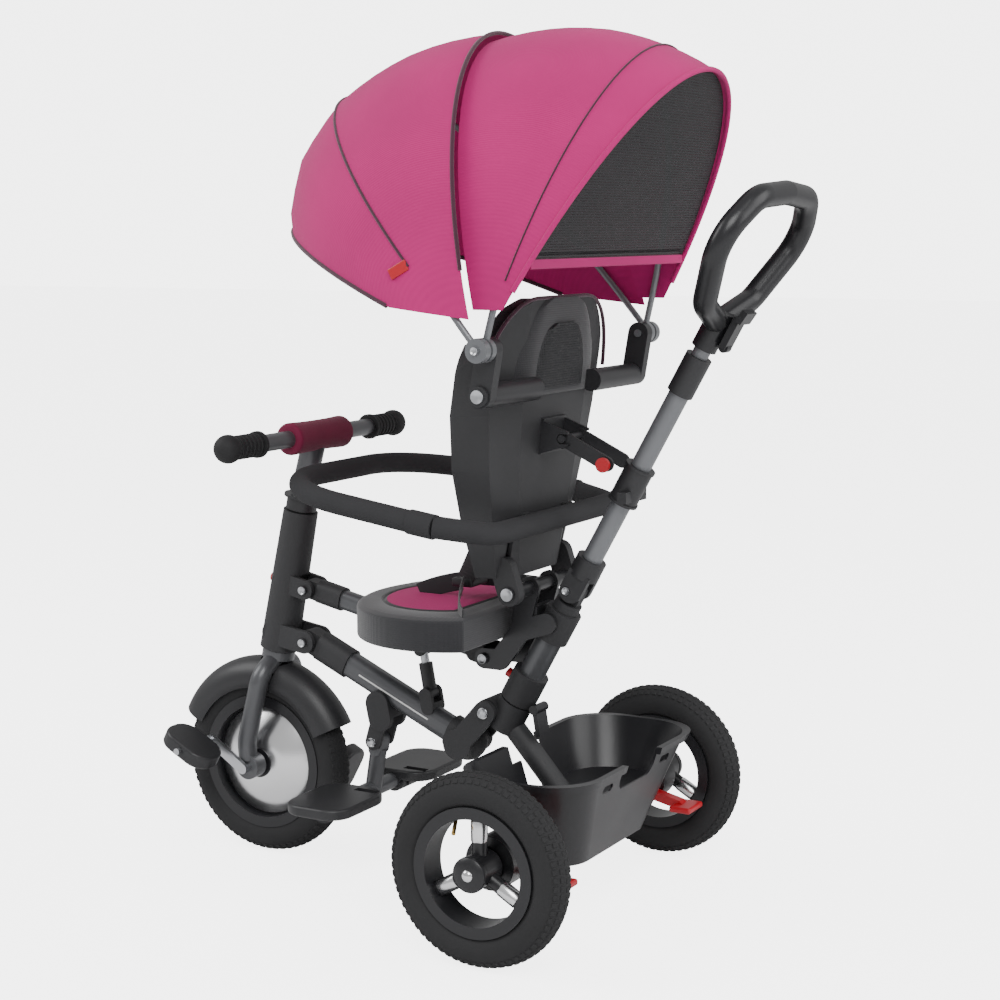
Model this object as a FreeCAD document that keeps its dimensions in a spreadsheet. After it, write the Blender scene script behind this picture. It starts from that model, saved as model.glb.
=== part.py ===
import FreeCAD, Part
import math
import os
import re

# Children's push tricycle. X is forward, Y is left, Z is up, in millimetres.
# All stations are measured from the rear axle; origin_setback moves them to the
# middle of the footprint, on the floor.

SIZES = {
    "origin_setback": 161.5,
    "rear_wheel_radius": 114.0,
    "front_wheel_radius": 125.0,
    "tyre_section": 21.5,
    "half_track": 246.0,
    "wheelbase": 471.0,
    "rear_rim_radius": 77.0,
    "front_rim_radius": 91.0,
    "rim_half_width": 19.0,
    "axle_radius": 6.0,
    "axle_beam_radius": 12.0,
    "drum_radius": 32.0,
    "drum_length": 34.0,
    "running_clearance": 0.1,
    "pivot_radius": 4.0,
    "fold_pivot_station": 118.0,
    "fold_pivot_height": 236.0,
    "link_spacing": 70.0,
    "link_reach": 278.0,
    "link_rise": 61.0,
    "main_tube_height": 34.0,
    "main_tube_width": 28.0,
    "upper_tube_height": 26.0,
    "upper_tube_width": 22.0,
    "tube_wall": 2.0,
    "push_lean": 29.0,
    "push_foot_station": 119.0,
    "push_foot_height": 190.0,
    "push_tube_radius": 12.7,
    "column_radius": 17.0,
    "collar_wall": 5.0,
    "handle_tube_radius": 10.5,
    "head_lean": 11.6,
    "head_station": 405.7,
    "head_height": 501.4,
    "stem_radius": 15.9,
    "bar_radius": 11.1,
    "bar_half_length": 201.0,
    "bar_station": 387.0,
    "bar_height": 571.0,
    "grip_length": 75.0,
    "grip_radius": 14.0,
    "fork_radius": 12.7,
    "fork_half_gap": 39.0,
    "crank_length": 62.0,
    "pedal_length": 78.0,
    "pedal_width": 56.0,
    "pedal_height": 20.0,
    "seat_hinge_station": 54.0,
    "seat_hinge_height": 401.0,
    "seat_half_width": 150.0,
    "seat_depth": 198.0,
    "cushion_height": 22.0,
    "back_height": 352.0,
    "back_half_width": 140.0,
    "back_corner_radius": 92.0,
    "back_wall": 4.0,
    "ring_tube_radius": 13.5,
    "ring_half_width": 184.0,
    "ring_height": 486.0,
    "ring_rise": 42.0,
    "canopy_radius": 362.0,
    "canopy_half_width": 217.0,
    "canopy_wall": 2.0,
    "visor_radius": 424.0,
    "bow_radius": 4.0,
    "basket_half_width": 178.0,
    "basket_length": 168.0,
    "basket_depth": 118.0,
    "basket_wall": 3.0,
    "rim_height": 200.0,
    "handle_half_width": 125.0,
    "handle_length": 178.0,
    "handle_thickness": 14.0,
    "footplate_length": 92.0,
    "footplate_width": 120.0,
    "footplate_thickness": 14.0,
    "rest_tube_radius": 11.0,
}

doc = FreeCAD.newDocument("Tricycle")
sheet = doc.addObject("Spreadsheet::Sheet", "Sizes")
for row, (alias, value) in enumerate(SIZES.items(), start=1):
    sheet.set("A%d" % row, alias)
    sheet.set("B%d" % row, str(value))
    sheet.setAlias("B%d" % row, alias)
doc.recompute()

V = FreeCAD.Vector
ALIASES = re.compile(r"\b(" + "|".join(SIZES) + r")\b")
PARTS = []


def size(alias):
    """Read one driving dimension from the sheet."""
    return float(sheet.get(alias))


def station(x, y, z):
    """A point given from the rear axle, moved to the model's own origin."""
    return V(x - size("origin_setback"), y, z)


def bind(item, **expressions):
    """Tie the properties of a document object to the sheet."""
    for prop, expression in expressions.items():
        item.setExpression(prop, ALIASES.sub(r"Sizes.\1", str(expression)))
    return item


def aim(item, start, direction):
    """Stand an object's own Z axis along a direction, from a start point."""
    item.Placement = FreeCAD.Placement(start, FreeCAD.Rotation(V(0, 0, 1), direction))
    return item


def cylinder(radius, length, start, direction=V(0, 1, 0)):
    """A rod whose radius and length are expressions on the sheet."""
    rod = doc.addObject("Part::Cylinder", "Rod")
    bind(rod, Radius=radius, Height=length)
    return aim(rod, start, direction)


def across(radius, length, x, z, y=0.0):
    """A rod along Y, centred on y."""
    rod = cylinder(radius, length, station(x, 0, z))
    doc.recompute([rod])
    rod.Placement = FreeCAD.Placement(station(x, y - rod.Height.Value / 2, z), FreeCAD.Rotation(V(1, 0, 0), -90))
    return rod


def cone(radius_low, radius_high, length, start, direction):
    """A tapered rod whose sizes are expressions on the sheet."""
    taper = doc.addObject("Part::Cone", "Taper")
    bind(taper, Radius1=radius_low, Radius2=radius_high, Height=length)
    return aim(taper, start, direction)


def ball(radius, centre):
    """A sphere whose radius is an expression on the sheet."""
    sphere = doc.addObject("Part::Sphere", "Ball")
    bind(sphere, Radius=radius)
    sphere.Placement = FreeCAD.Placement(centre, FreeCAD.Rotation())
    return sphere


def block(length, width, height, centre, lean=0.0):
    """A box centred on a point and leant about Y."""
    box = doc.addObject("Part::Box", "Block")
    bind(box, Length=length, Width=width, Height=height)
    doc.recompute([box])
    turn = FreeCAD.Rotation(V(0, 1, 0), lean)
    half = V(box.Length.Value / 2, box.Width.Value / 2, box.Height.Value / 2)
    box.Placement = FreeCAD.Placement(centre - turn.multVec(half), turn)
    return box


def fuse(*items):
    """Join objects into one solid."""
    joined = doc.addObject("Part::MultiFuse", "Joined")
    joined.Shapes = list(items)
    return joined


def cut(base, *tools):
    """Take tools away from a base."""
    for tool in tools:
        result = doc.addObject("Part::Cut", "Cut")
        result.Base = base
        result.Tool = tool
        base = result
    return base


def group(*items):
    """Separate solids that share one node."""
    together = doc.addObject("Part::Compound", "Group")
    together.Links = list(items)
    return together


def feature(shape):
    """A shape that Part's own functions made."""
    item = doc.addObject("Part::Feature", "Form")
    item.Shape = shape
    return item


def node(label, item):
    """Name a finished sub-part, so that it is checked and written."""
    item.Label = label
    PARTS.append(item)
    return item


def bent_path(points, radii):
    """Straight runs joined by tangent arcs."""
    edges = []
    start = points[0]
    for before, corner, after, radius in zip(points, points[1:], points[2:], radii):
        inward = (before - corner).normalize()
        outward = (after - corner).normalize()
        half_angle = math.acos(max(-1.0, min(1.0, inward.dot(outward)))) / 2
        setback = radius / math.tan(half_angle)
        entry = corner + inward * setback
        leave = corner + outward * setback
        to_centre = (inward + outward).normalize()
        middle = corner + to_centre * (radius / math.sin(half_angle) - radius)
        edges.append(Part.LineSegment(start, entry).toShape())
        edges.append(Part.Arc(entry, middle, leave).toShape())
        start = leave
    edges.append(Part.LineSegment(start, points[-1]).toShape())
    return Part.Wire(edges)


def bent_tube(points, radii, radius, bore=0.0):
    """A round tube along a bent path."""
    path = bent_path(points, radii)
    heading = points[1] - points[0]

    def sweep(section_radius):
        ring = Part.Wire(Part.makeCircle(section_radius, points[0], heading))
        return path.makePipeShell([ring], True, False)

    solid = sweep(radius)
    if bore > 0:
        solid = solid.cut(sweep(bore))
    return solid


def rounded_outline(half_x, half_y, corner, z, centre_x=0.0):
    """A rounded rectangle at a height, as a closed wire."""
    corner = min(corner, half_x * 0.98, half_y * 0.98)
    rectangle = Part.makePlane(2 * half_x, 2 * half_y, V(centre_x - half_x, -half_y, z))
    prism = rectangle.extrude(V(0, 0, 1))
    uprights = [e for e in prism.Edges if abs(e.BoundBox.ZLength - 1) < 1e-6]
    smooth = prism.makeFillet(corner, uprights)
    face = min(smooth.Faces, key=lambda f: f.CenterOfMass.z)
    return face.OuterWire


def plate(outline, y, thickness):
    """A flat plate in the XZ plane, from outline points given from the rear axle."""
    corners = [station(x, y, z) for x, z in outline]
    wire = Part.makePolygon(corners + corners[:1])
    return Part.Face(wire).extrude(V(0, thickness, 0))


def slot_plate(ends, radius, y, thickness):
    """A plate with round ends that follows a chain of stations."""
    solid = None
    for x, z in ends:
        disc = Part.makeCylinder(radius, thickness, station(x, y, z), V(0, 1, 0))
        solid = disc if solid is None else solid.fuse(disc)
    for (x1, z1), (x2, z2) in zip(ends, ends[1:]):
        along = V(x2 - x1, 0, z2 - z1)
        side = V(-along.z, 0, along.x).normalize() * radius
        a = station(x1, y, z1)
        b = station(x2, y, z2)
        wire = Part.makePolygon([a + side, b + side, b - side, a - side, a + side])
        solid = solid.fuse(Part.Face(wire).extrude(V(0, thickness, 0)))
    return solid.removeSplitter()


def both_sides(shape):
    """A left shape and its mirror on the right."""
    return [shape, shape.mirror(V(0, 0, 0), V(0, 1, 0))]


# ---------------------------------------------------------------- axes and stations
R_REAR = size("rear_wheel_radius")
R_FRONT = size("front_wheel_radius")
FOLD = (size("fold_pivot_station"), size("fold_pivot_height"))
LOWER = (FOLD[0] + size("link_reach"), FOLD[1] + size("link_rise"))
UPPER_REAR = (FOLD[0], FOLD[1] + size("link_spacing"))
UPPER = (LOWER[0], LOWER[1] + size("link_spacing"))
LEAN = math.radians(size("push_lean"))
PUSH_UP = V(-math.sin(LEAN), 0, math.cos(LEAN))
HEAD_LEAN = math.radians(size("head_lean"))
HEAD_UP = V(-math.sin(HEAD_LEAN), 0, math.cos(HEAD_LEAN))
HINGE = (size("seat_hinge_station"), size("seat_hinge_height"))
STRUT_FOOT = (213.4, 245.0)
STRUT_TOP = (224.0, 302.0)
GAP = size("running_clearance")


def on_push(z, forward=0.0, y=0.0):
    """A point on the push bar's axis at a height."""
    x = size("push_foot_station") - (z - size("push_foot_height")) * math.tan(LEAN)
    return station(x, y, z) + V(math.cos(LEAN), 0, math.sin(LEAN)) * forward


def on_head(z, forward=0.0, y=0.0):
    """A point on the steering axis at a height."""
    x = size("head_station") - (z - size("head_height")) * math.tan(HEAD_LEAN)
    return station(x, y, z) + V(math.cos(HEAD_LEAN), 0, math.sin(HEAD_LEAN)) * forward


def push_span(z_low, z_high):
    """Length along the push bar between two heights."""
    return (z_high - z_low) / math.cos(LEAN)


# ---------------------------------------------------------------- rear frame
def rear_frame():
    """Casting, axle beam, brake drums, column, collars, seat bracket and basket."""
    spine_start = on_push(225)
    spine = station(0, 0, R_REAR) - spine_start
    column_bore = "column_radius"
    socket = cylinder("column_radius + collar_wall", push_span(214, 250), on_push(214), PUSH_UP)
    casting = fuse(
        socket,
        cylinder("axle_beam_radius + 2", spine.Length, spine_start, spine),
        across("pivot_radius * 4", 42, *FOLD),
        across("axle_beam_radius + 6", 60, 0, R_REAR),
    )
    casting = cut(
        casting,
        cylinder(column_bore, push_span(232, 262), on_push(232), PUSH_UP),
        across("axle_beam_radius", 80, 0, R_REAR),
        across("pivot_radius", 60, *FOLD),
    )
    node("rear_casting", casting)

    half_beam = size("half_track") - size("rim_half_width") - size("drum_length") - 4
    beam = across("axle_beam_radius", 2 * half_beam, 0, R_REAR)
    rod = across("axle_radius", "2 * (half_track + rim_half_width)", 0, R_REAR)
    axle = fuse(beam, rod)

    drum_y = half_beam + size("drum_length") / 2
    drums = []
    for side in (1, -1):
        drum = across("drum_radius", "drum_length", 0, R_REAR, side * drum_y)
        drums.append(cut(drum, across("axle_radius", "drum_length + 2", 0, R_REAR, side * drum_y)))
    node("axle_beam", group(axle, *drums))

    column = cylinder("column_radius", push_span(232, 372), on_push(232), PUSH_UP)
    bore = cylinder("column_radius - tube_wall", push_span(228, 376), on_push(228), PUSH_UP)
    node("column_tube", cut(column, bore))

    lower = cylinder("column_radius + collar_wall + 1", push_span(252, 288), on_push(252), PUSH_UP)
    lower = cut(lower, cylinder("column_radius", push_span(240, 300), on_push(240), PUSH_UP))
    upper = cylinder("column_radius + collar_wall", push_span(336, 372), on_push(336), PUSH_UP)
    upper = cut(upper, cylinder("column_radius", push_span(330, 380), on_push(330), PUSH_UP))
    forward = V(math.cos(LEAN), 0, math.sin(LEAN))
    lower = cut(lower, cylinder("6.1", 20, on_push(272, 17.3), forward))
    knuckle = (on_push(399).x + size("origin_setback"), 399.0)
    foot = (on_push(378).x + size("origin_setback"), 378.0)
    stub = Part.makeCylinder(size("column_radius"), push_span(372, 383), on_push(372), PUSH_UP)
    stub = stub.fuse(Part.makeCylinder(size("column_radius") - 2.1, push_span(350, 372), on_push(350), PUSH_UP))
    stub = stub.fuse(slot_plate([knuckle, foot], 13, -7, 14))
    stub = stub.cut(Part.makeCylinder(5, 60, on_push(399, 0, -30), V(0, 1, 0)))
    node("column_collars", group(lower, upper, feature(stub)))

    arm = [UPPER_REAR, (96, 306), (66, 346), (30, 358)]
    post = [(66, 346), (62, 372), HINGE]
    halves = []
    for inner in (size("column_radius") + size("collar_wall") + 0.5, -size("column_radius") - size("collar_wall") - 6.5):
        halves.append(slot_plate(arm, 13, inner, 6).fuse(slot_plate(post, 14, inner, 6)))
    bracket = halves[0].fuse(halves[1])
    bracket = bracket.fuse(Part.makeCylinder(9, 164, station(HINGE[0], -82, HINGE[1]), V(0, 1, 0)))
    cross_web = Part.makeBox(10, 50, 26, station(44, -25, 352))
    cleared = cross_web.cut(Part.makeCylinder(size("column_radius") + size("collar_wall"), 90, on_push(320), PUSH_UP))
    bracket = bracket.fuse(cleared)
    pivot = size("pivot_radius") - GAP / 2
    bracket = bracket.fuse(Part.makeCylinder(pivot, 62, station(UPPER_REAR[0], -31, UPPER_REAR[1]), V(0, 1, 0)))
    for y in (28.0, -31.0):
        bracket = bracket.fuse(Part.makeCylinder(7, 3, station(UPPER_REAR[0], y, UPPER_REAR[1]), V(0, 1, 0)))
    node("seat_bracket", feature(bracket.removeSplitter()))


def basket():
    """A tub with a rolled rim, a rear notch, a finger slot and a channel over the axle."""
    half_width = size("basket_half_width")
    half_length = size("basket_length") / 2
    wall = size("basket_wall")
    centre = half_length - 88 - size("origin_setback")
    top = size("rim_height")
    bottom = top - size("basket_depth")
    floor = R_REAR + size("axle_beam_radius") + 10

    def tub(inset, low, high):
        share_low = (top - low) / (top - bottom)
        share_high = (top - high) / (top - bottom)

        def ring(share, z):
            half_x = half_length - inset - 38 * share
            half_y = half_width - inset - 62 * share
            return rounded_outline(half_x, half_y, 62 - 12 * share, z, centre)

        return Part.makeLoft([ring(share_low, low), ring(share_high, high)], True)

    shell = tub(0, bottom, top).cut(tub(wall, floor + wall, top + 1))
    shell = shell.cut(tub(wall, bottom - 1, floor))
    lip = tub(-5, top - 9, top).cut(tub(0.0, top - 10, top + 1))
    shell = shell.fuse(lip)
    channel = Part.makeBox(400, 90, floor - bottom + 2, station(-24, -45, bottom - 2))
    side_ways = Part.makeBox(48, 500, floor - bottom + 2, station(-24, -250, bottom - 2))
    notch = Part.makeBox(60, 96, 60, station(-110, -48, top - 34))
    notch = notch.makeFillet(16, [e for e in notch.Edges if abs(e.BoundBox.XLength - 60) < 0.1 and e.CenterOfMass.z < top])
    slot = Part.makeCylinder(5, 60, station(-110, 72, top - 22), V(1, 0, 0))
    slot = slot.fuse(slot.translated(V(0, 16, 0)))
    slot = slot.fuse(Part.makeBox(60, 16, 10, station(-110, 72, top - 27)))
    other_slot = slot.mirror(V(0, 0, 0), V(0, 1, 0))
    relief = Part.makeCylinder(
        size("column_radius") + size("collar_wall") + 6, push_span(120, 340), on_push(120), PUSH_UP
    )
    lever_room = Part.makeBox(60, 80, 60, station(50, -40, top - 22))
    shell = shell.cut(Part.makeCompound([channel, side_ways, notch]))
    for tool in (slot, other_slot, relief, lever_room):
        shell = shell.cut(tool)
    spine = Part.makeBox(200, 36, 90, station(-24, -18, R_REAR - 20))
    shell = shell.cut(spine)
    solids = sorted(shell.Solids, key=lambda s: s.Volume)
    node("basket", feature(solids[-1]))


# ---------------------------------------------------------------- folding front frame
def slot_tube(start, end, height, width, wall):
    """A flat-oval tube between two stations, open at both ends."""
    along = V(end[0] - start[0], 0, end[1] - start[1])
    turn = FreeCAD.Rotation(V(1, 0, 0), along)
    radius = min(height, width) * 0.42

    def bar(trim):
        corner = V(0, -width / 2 + trim, -height / 2 + trim)
        box = Part.makeBox(along.Length, width - 2 * trim, height - 2 * trim, corner)
        box = box.makeFillet(radius - trim, [e for e in box.Edges if abs(e.BoundBox.XLength - along.Length) < 1e-6])
        return box

    solid = bar(0)
    if wall > 0:
        solid = solid.cut(bar(wall))
    solid.Placement = FreeCAD.Placement(station(start[0], 0, start[1]), turn)
    return solid


def along_line(start, end, distance):
    """A station at a distance from start towards end."""
    length = math.hypot(end[0] - start[0], end[1] - start[1])
    share = distance / length
    return (start[0] + (end[0] - start[0]) * share, start[1] + (end[1] - start[1]) * share)


def front_frame():
    """Main tube with its end fittings and brackets, and the upper tube."""
    height = size("main_tube_height")
    width = size("main_tube_width")
    tail = (FOLD[0] + 40, FOLD[1] - 46)
    front = along_line(LOWER, tail, 20)
    node("main_tube", feature(slot_tube(front, tail, height, width, size("tube_wall"))))

    sleeve_front = along_line(LOWER, tail, 16)
    sleeve_back = along_line(LOWER, tail, 66)
    sleeve = slot_tube(sleeve_front, sleeve_back, height + 5, width + 5, 0)
    sleeve = sleeve.fuse(slot_plate([LOWER, along_line(LOWER, tail, 20)], 15, -12, 24))
    sleeve = sleeve.cut(slot_tube(front, tail, height, width, 0))
    sleeve = sleeve.cut(Part.makeCylinder(size("pivot_radius"), 60, station(LOWER[0], -30, LOWER[1]), V(0, 1, 0)))
    fittings = [feature(sleeve)]

    fitting_front = along_line(tail, LOWER, 26)
    fitting = slot_tube(tail, fitting_front, height + 8, width + 8, 0)
    fitting = fitting.fuse(Part.makeSphere(26, station(tail[0], 0, tail[1])))
    fitting = fitting.cut(Part.makeBox(90, 20, 90, station(tail[0] - 45, 31, tail[1] - 45)))
    ears = []
    for inner in (22.5, -29.5):
        ears.append(slot_plate([FOLD, (tail[0], tail[1])], 15, inner, 7))
    for ear in ears:
        fitting = fitting.fuse(ear)
    fitting = fitting.fuse(Part.makeCylinder(20, 59, station(tail[0], -29.5, tail[1]), V(0, 1, 0)))
    fitting = fitting.cut(slot_tube(tail, front, height, width, 0))
    fitting = fitting.cut(Part.makeCylinder(size("pivot_radius"), 80, station(FOLD[0], -40, FOLD[1]), V(0, 1, 0)))
    fittings.append(feature(fitting.removeSplitter()))

    bolt = Part.makeCylinder(size("pivot_radius") - GAP / 2, 63, station(FOLD[0], -31.5, FOLD[1]), V(0, 1, 0))
    heads = [Part.makeCylinder(7, 3, station(FOLD[0], y, FOLD[1]), V(0, 1, 0)) for y in (29.5, -32.5)]
    bolts = [feature(bolt.fuse(heads))]
    knuckle = (292.0, 174.0)
    pin = Part.makeCylinder(size("pivot_radius") - GAP / 2, 36, station(knuckle[0], -18, knuckle[1]), V(0, 1, 0))
    caps = [Part.makeCylinder(6, 2.5, station(knuckle[0], y, knuckle[1]), V(0, 1, 0)) for y in (18, -20.5)]
    bolts.append(feature(pin.fuse(caps)))
    node("frame_bolts", group(*bolts))

    tube_low = along_line(LOWER, tail, 130)
    under = V(0, 0, -1)
    bracket_head = (280.0, 207.0)
    cheeks = slot_plate([bracket_head, (284.0, 226.0)], 17, -20, 40)
    cheeks = cheeks.cut(slot_tube(tail, front, height + 0.02, width + 0.02, 0))
    knuckle_slot = Part.makeBox(60, 24, 46, station(262, -12, 163))
    cheeks = cheeks.fuse(slot_plate([(286.0, 194.0), (292.0, 174.0)], 11, -18, 36)).cut(knuckle_slot)
    cheeks = cheeks.cut(Part.makeCylinder(size("pivot_radius"), 60, station(292, -30, 174), V(0, 1, 0)))
    fittings.append(feature(cheeks.removeSplitter()))

    base = slot_plate([STRUT_FOOT, (210.0, 228.0)], 9, -15, 30)
    base = base.cut(Part.makeBox(80, 19, 60, station(180, -9.5, 235)))
    base = base.cut(Part.makeCylinder(9, 19, station(STRUT_FOOT[0], -9.5, STRUT_FOOT[1]), V(0, 1, 0)))
    base = base.cut(slot_tube(tail, front, height, width, 0))
    clevis_pin = Part.makeCylinder(size("pivot_radius") - 0.05, 30, station(STRUT_FOOT[0], -15, STRUT_FOOT[1]), V(0, 1, 0))
    fittings.append(feature(base.fuse(clevis_pin)))
    node("main_tube_fittings", group(*fittings))

    upper_start = along_line(UPPER, UPPER_REAR, 20)
    upper_end = along_line(UPPER_REAR, UPPER, 16)
    node(
        "upper_tube",
        feature(slot_tube(upper_start, upper_end, size("upper_tube_height"), size("upper_tube_width"), size("tube_wall"))),
    )
    cap = slot_tube(
        along_line(UPPER, UPPER_REAR, 14),
        along_line(UPPER, UPPER_REAR, 52),
        size("upper_tube_height") + 5,
        size("upper_tube_width") + 5,
        0,
    )
    cap = cap.fuse(slot_plate([UPPER, along_line(UPPER, UPPER_REAR, 18)], 12, -11, 22))
    solid_bar = slot_tube(upper_start, upper_end, size("upper_tube_height"), size("upper_tube_width"), 0)
    cap = cap.cut(solid_bar)
    cap = cap.cut(Part.makeCylinder(size("pivot_radius"), 60, station(UPPER[0], -30, UPPER[1]), V(0, 1, 0)))
    ends = [feature(cap)]
    heel = slot_plate([UPPER_REAR, along_line(UPPER_REAR, UPPER, 20)], 12, -20, 40)
    heel = heel.cut(solid_bar)
    heel = heel.cut(Part.makeCylinder(size("pivot_radius"), 60, station(UPPER_REAR[0], -30, UPPER_REAR[1]), V(0, 1, 0)))
    ends.append(feature(heel))
    hanger = Part.makeCylinder(3, 22, station(STRUT_TOP[0], -11, STRUT_TOP[1]), V(0, 1, 0))
    for y in (7, -11):
        hanger = hanger.fuse(slot_plate([STRUT_TOP, (STRUT_TOP[0], STRUT_TOP[1] + 24)], 8, y, 4))
    hanger = max(hanger.cut(solid_bar).Solids, key=lambda solid: solid.Volume)
    ends.append(feature(hanger))
    node("upper_tube_ends", group(*ends))


# ---------------------------------------------------------------- head and steering
def head():
    """The head casting with its two clevises, and the release button in its nose."""
    low, high = 282.0, 470.0
    body = Part.makeCone(26, 23, (high - low) / math.cos(HEAD_LEAN), on_head(low), HEAD_UP)
    for pivot, radius, inner in ((LOWER, 15, 17), (UPPER, 13, 14.5)):
        axis_x = size("head_station") - (pivot[1] - size("head_height")) * math.tan(HEAD_LEAN)
        for y in (inner, -inner - 6):
            body = body.fuse(slot_plate([pivot, (axis_x, pivot[1] + 8)], radius, y, 6))
    slot_low = Part.makeCylinder(24, 34, station(LOWER[0], -17, LOWER[1]), V(0, 1, 0))
    slot_high = Part.makeCylinder(20, 29, station(UPPER[0], -14.5, UPPER[1]), V(0, 1, 0))
    steerer_room = Part.makeCylinder(
        size("stem_radius") + 0.1, (high - low + 20) / math.cos(HEAD_LEAN), on_head(low - 10), HEAD_UP
    )
    body = body.cut(slot_low).cut(slot_high).cut(steerer_room)
    for pivot in (LOWER, UPPER):
        body = body.cut(Part.makeCylinder(size("pivot_radius"), 70, station(pivot[0], -35, pivot[1]), V(0, 1, 0)))
    nose = on_head(372)
    nose_out = V(math.cos(HEAD_LEAN), 0, math.sin(HEAD_LEAN))
    button_hole = Part.makeCylinder(6.1, 14, nose + nose_out * 17.5, nose_out)
    body = body.cut(button_hole)
    node("head_button", cylinder(6, 8, nose + nose_out * 20, nose_out))
    bolts = []
    for pivot, half in ((LOWER, 23), (UPPER, 20.5)):
        pin = Part.makeCylinder(size("pivot_radius") - GAP / 2, 2 * half, station(pivot[0], -half, pivot[1]), V(0, 1, 0))
        ends = [Part.makeCylinder(6, 2.5, station(pivot[0], y, pivot[1]), V(0, 1, 0)) for y in (half, -half - 2.5)]
        bolts.append(pin.fuse(ends))
    node("head_casting", group(feature(body.removeSplitter()), *[feature(bolt) for bolt in bolts]))


def steering():
    """Stem, handlebar, grips, pad, collar, fork and mudguard."""
    bar = station(size("bar_station"), 0, size("bar_height"))
    stem_foot = on_head(268)
    bend = on_head(510)
    stem = bent_tube([stem_foot, bend, bar], [90.0], size("stem_radius"), size("stem_radius") - size("tube_wall"))
    bar_hole = Part.makeCylinder(size("bar_radius"), 60, bar - V(0, 30, 0), V(0, 1, 0))
    node("stem_tube", feature(stem.cut(bar_hole)))

    tube = cylinder("bar_radius", "2 * bar_half_length - 16", bar - V(0, size("bar_half_length") - 8, 0))
    bore = cylinder("bar_radius - tube_wall", "2 * bar_half_length", bar - V(0, size("bar_half_length"), 0))
    node("handlebar", cut(tube, bore))

    grips = []
    for side in (1, -1):
        inner = size("bar_half_length") - size("grip_length")
        length = size("grip_length") - 10
        start = bar + V(0, side * inner, 0)
        out = V(0, side, 0)
        sleeve = cylinder("grip_radius", "grip_length - 10", start, out)
        flange = cylinder("grip_radius + 3", 5, start, out)
        bulb = ball("grip_radius + 4", bar + V(0, side * (inner + length - 2), 0))
        grip = fuse(sleeve, flange, bulb)
        hole = cylinder("bar_radius", "grip_length - 7", start - out * 1, out)
        grips.append(cut(grip, hole))
    node("grips", group(*grips))

    pad = Part.makeCylinder(21, 120, bar - V(0, 60, 0) + V(0, 0, 1), V(0, 1, 0))
    pad = pad.cut(Part.makeCylinder(size("bar_radius") + 0.3, 140, bar - V(0, 70, 0), V(0, 1, 0)))
    pad = pad.cut(bent_tube([stem_foot, bend, bar], [90.0], size("stem_radius")))
    node("bar_pad", feature(max(pad.Solids, key=lambda solid: solid.Volume)))

    ring = Part.makeCylinder(20.5, 16, on_head(472.2), HEAD_UP)
    ring = ring.fuse(Part.makeCylinder(25, 3, on_head(472.2) + HEAD_UP * 16, HEAD_UP))
    ring = ring.cut(Part.makeCylinder(size("stem_radius"), 40, on_head(462), HEAD_UP))
    node("stem_collar", feature(ring))

    axle = station(size("wheelbase"), 0, R_FRONT)
    gap = size("fork_half_gap")
    crown = on_head(272)
    left = [crown + V(0, 0, 0), crown + V(2, gap, -22), axle + V(6, gap + 3, 34), axle + V(4, gap + 3, 8)]
    leg = bent_tube([V(*p) for p in left], [26.0, 60.0], size("fork_radius"))
    legs = leg.fuse(leg.mirror(V(0, 0, 0), V(0, 1, 0)))
    plug = Part.makeCylinder(22, 12, on_head(268.5), HEAD_UP)
    ends = []
    for side in (1, -1):
        boss = Part.makeCylinder(17, 20, axle + V(0, side * gap - 8, 0), V(0, 1, 0))
        ends.append(boss)
    fork = legs.fuse([plug] + ends)
    fork = fork.cut(Part.makeCylinder(size("axle_radius") + GAP / 2, 160, axle - V(0, 80, 0), V(0, 1, 0)))
    fork = fork.cut(Part.makeCylinder(size("stem_radius"), 80, on_head(268.5) - HEAD_UP * 2, HEAD_UP))
    wheel_room = Part.makeCylinder(R_FRONT + 5, 2 * (gap - 9), axle - V(0, gap - 9, 0), V(0, 1, 0))
    fork = fork.cut(wheel_room)
    node("fork", feature(fork))

    outer = R_FRONT + 14
    guard = Part.makeTorus(outer - 26, 30, axle, V(0, 1, 0))
    guard = guard.cut(Part.makeTorus(outer - 26, 27.5, axle, V(0, 1, 0)))
    guard = guard.cut(Part.makeCylinder(R_FRONT + 0 - 22, 80, axle - V(0, 40, 0), V(0, 1, 0)))
    wedge = Part.makePolygon([axle, axle + V(260, 0, 130), axle + V(260, 0, 300), axle + V(-300, 0, 300), axle + V(-300, 0, 150), axle])
    keep = Part.Face(wedge).extrude(V(0, 100, 0)).translated(V(0, -50, 0))
    guard = guard.common(keep)
    guard = guard.cut(fork_like(left))
    guard = guard.cut(Part.makeCylinder(22.4, 60, on_head(250), HEAD_UP))
    node("mudguard", feature(max(guard.Solids, key=lambda s: s.Volume)))


def fork_like(points):
    """The room that the fork legs take beside the mudguard."""
    leg = bent_tube([V(*p) for p in points], [26.0, 60.0], size("fork_radius") + 0.5)
    return leg.fuse(leg.mirror(V(0, 0, 0), V(0, 1, 0)))


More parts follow.
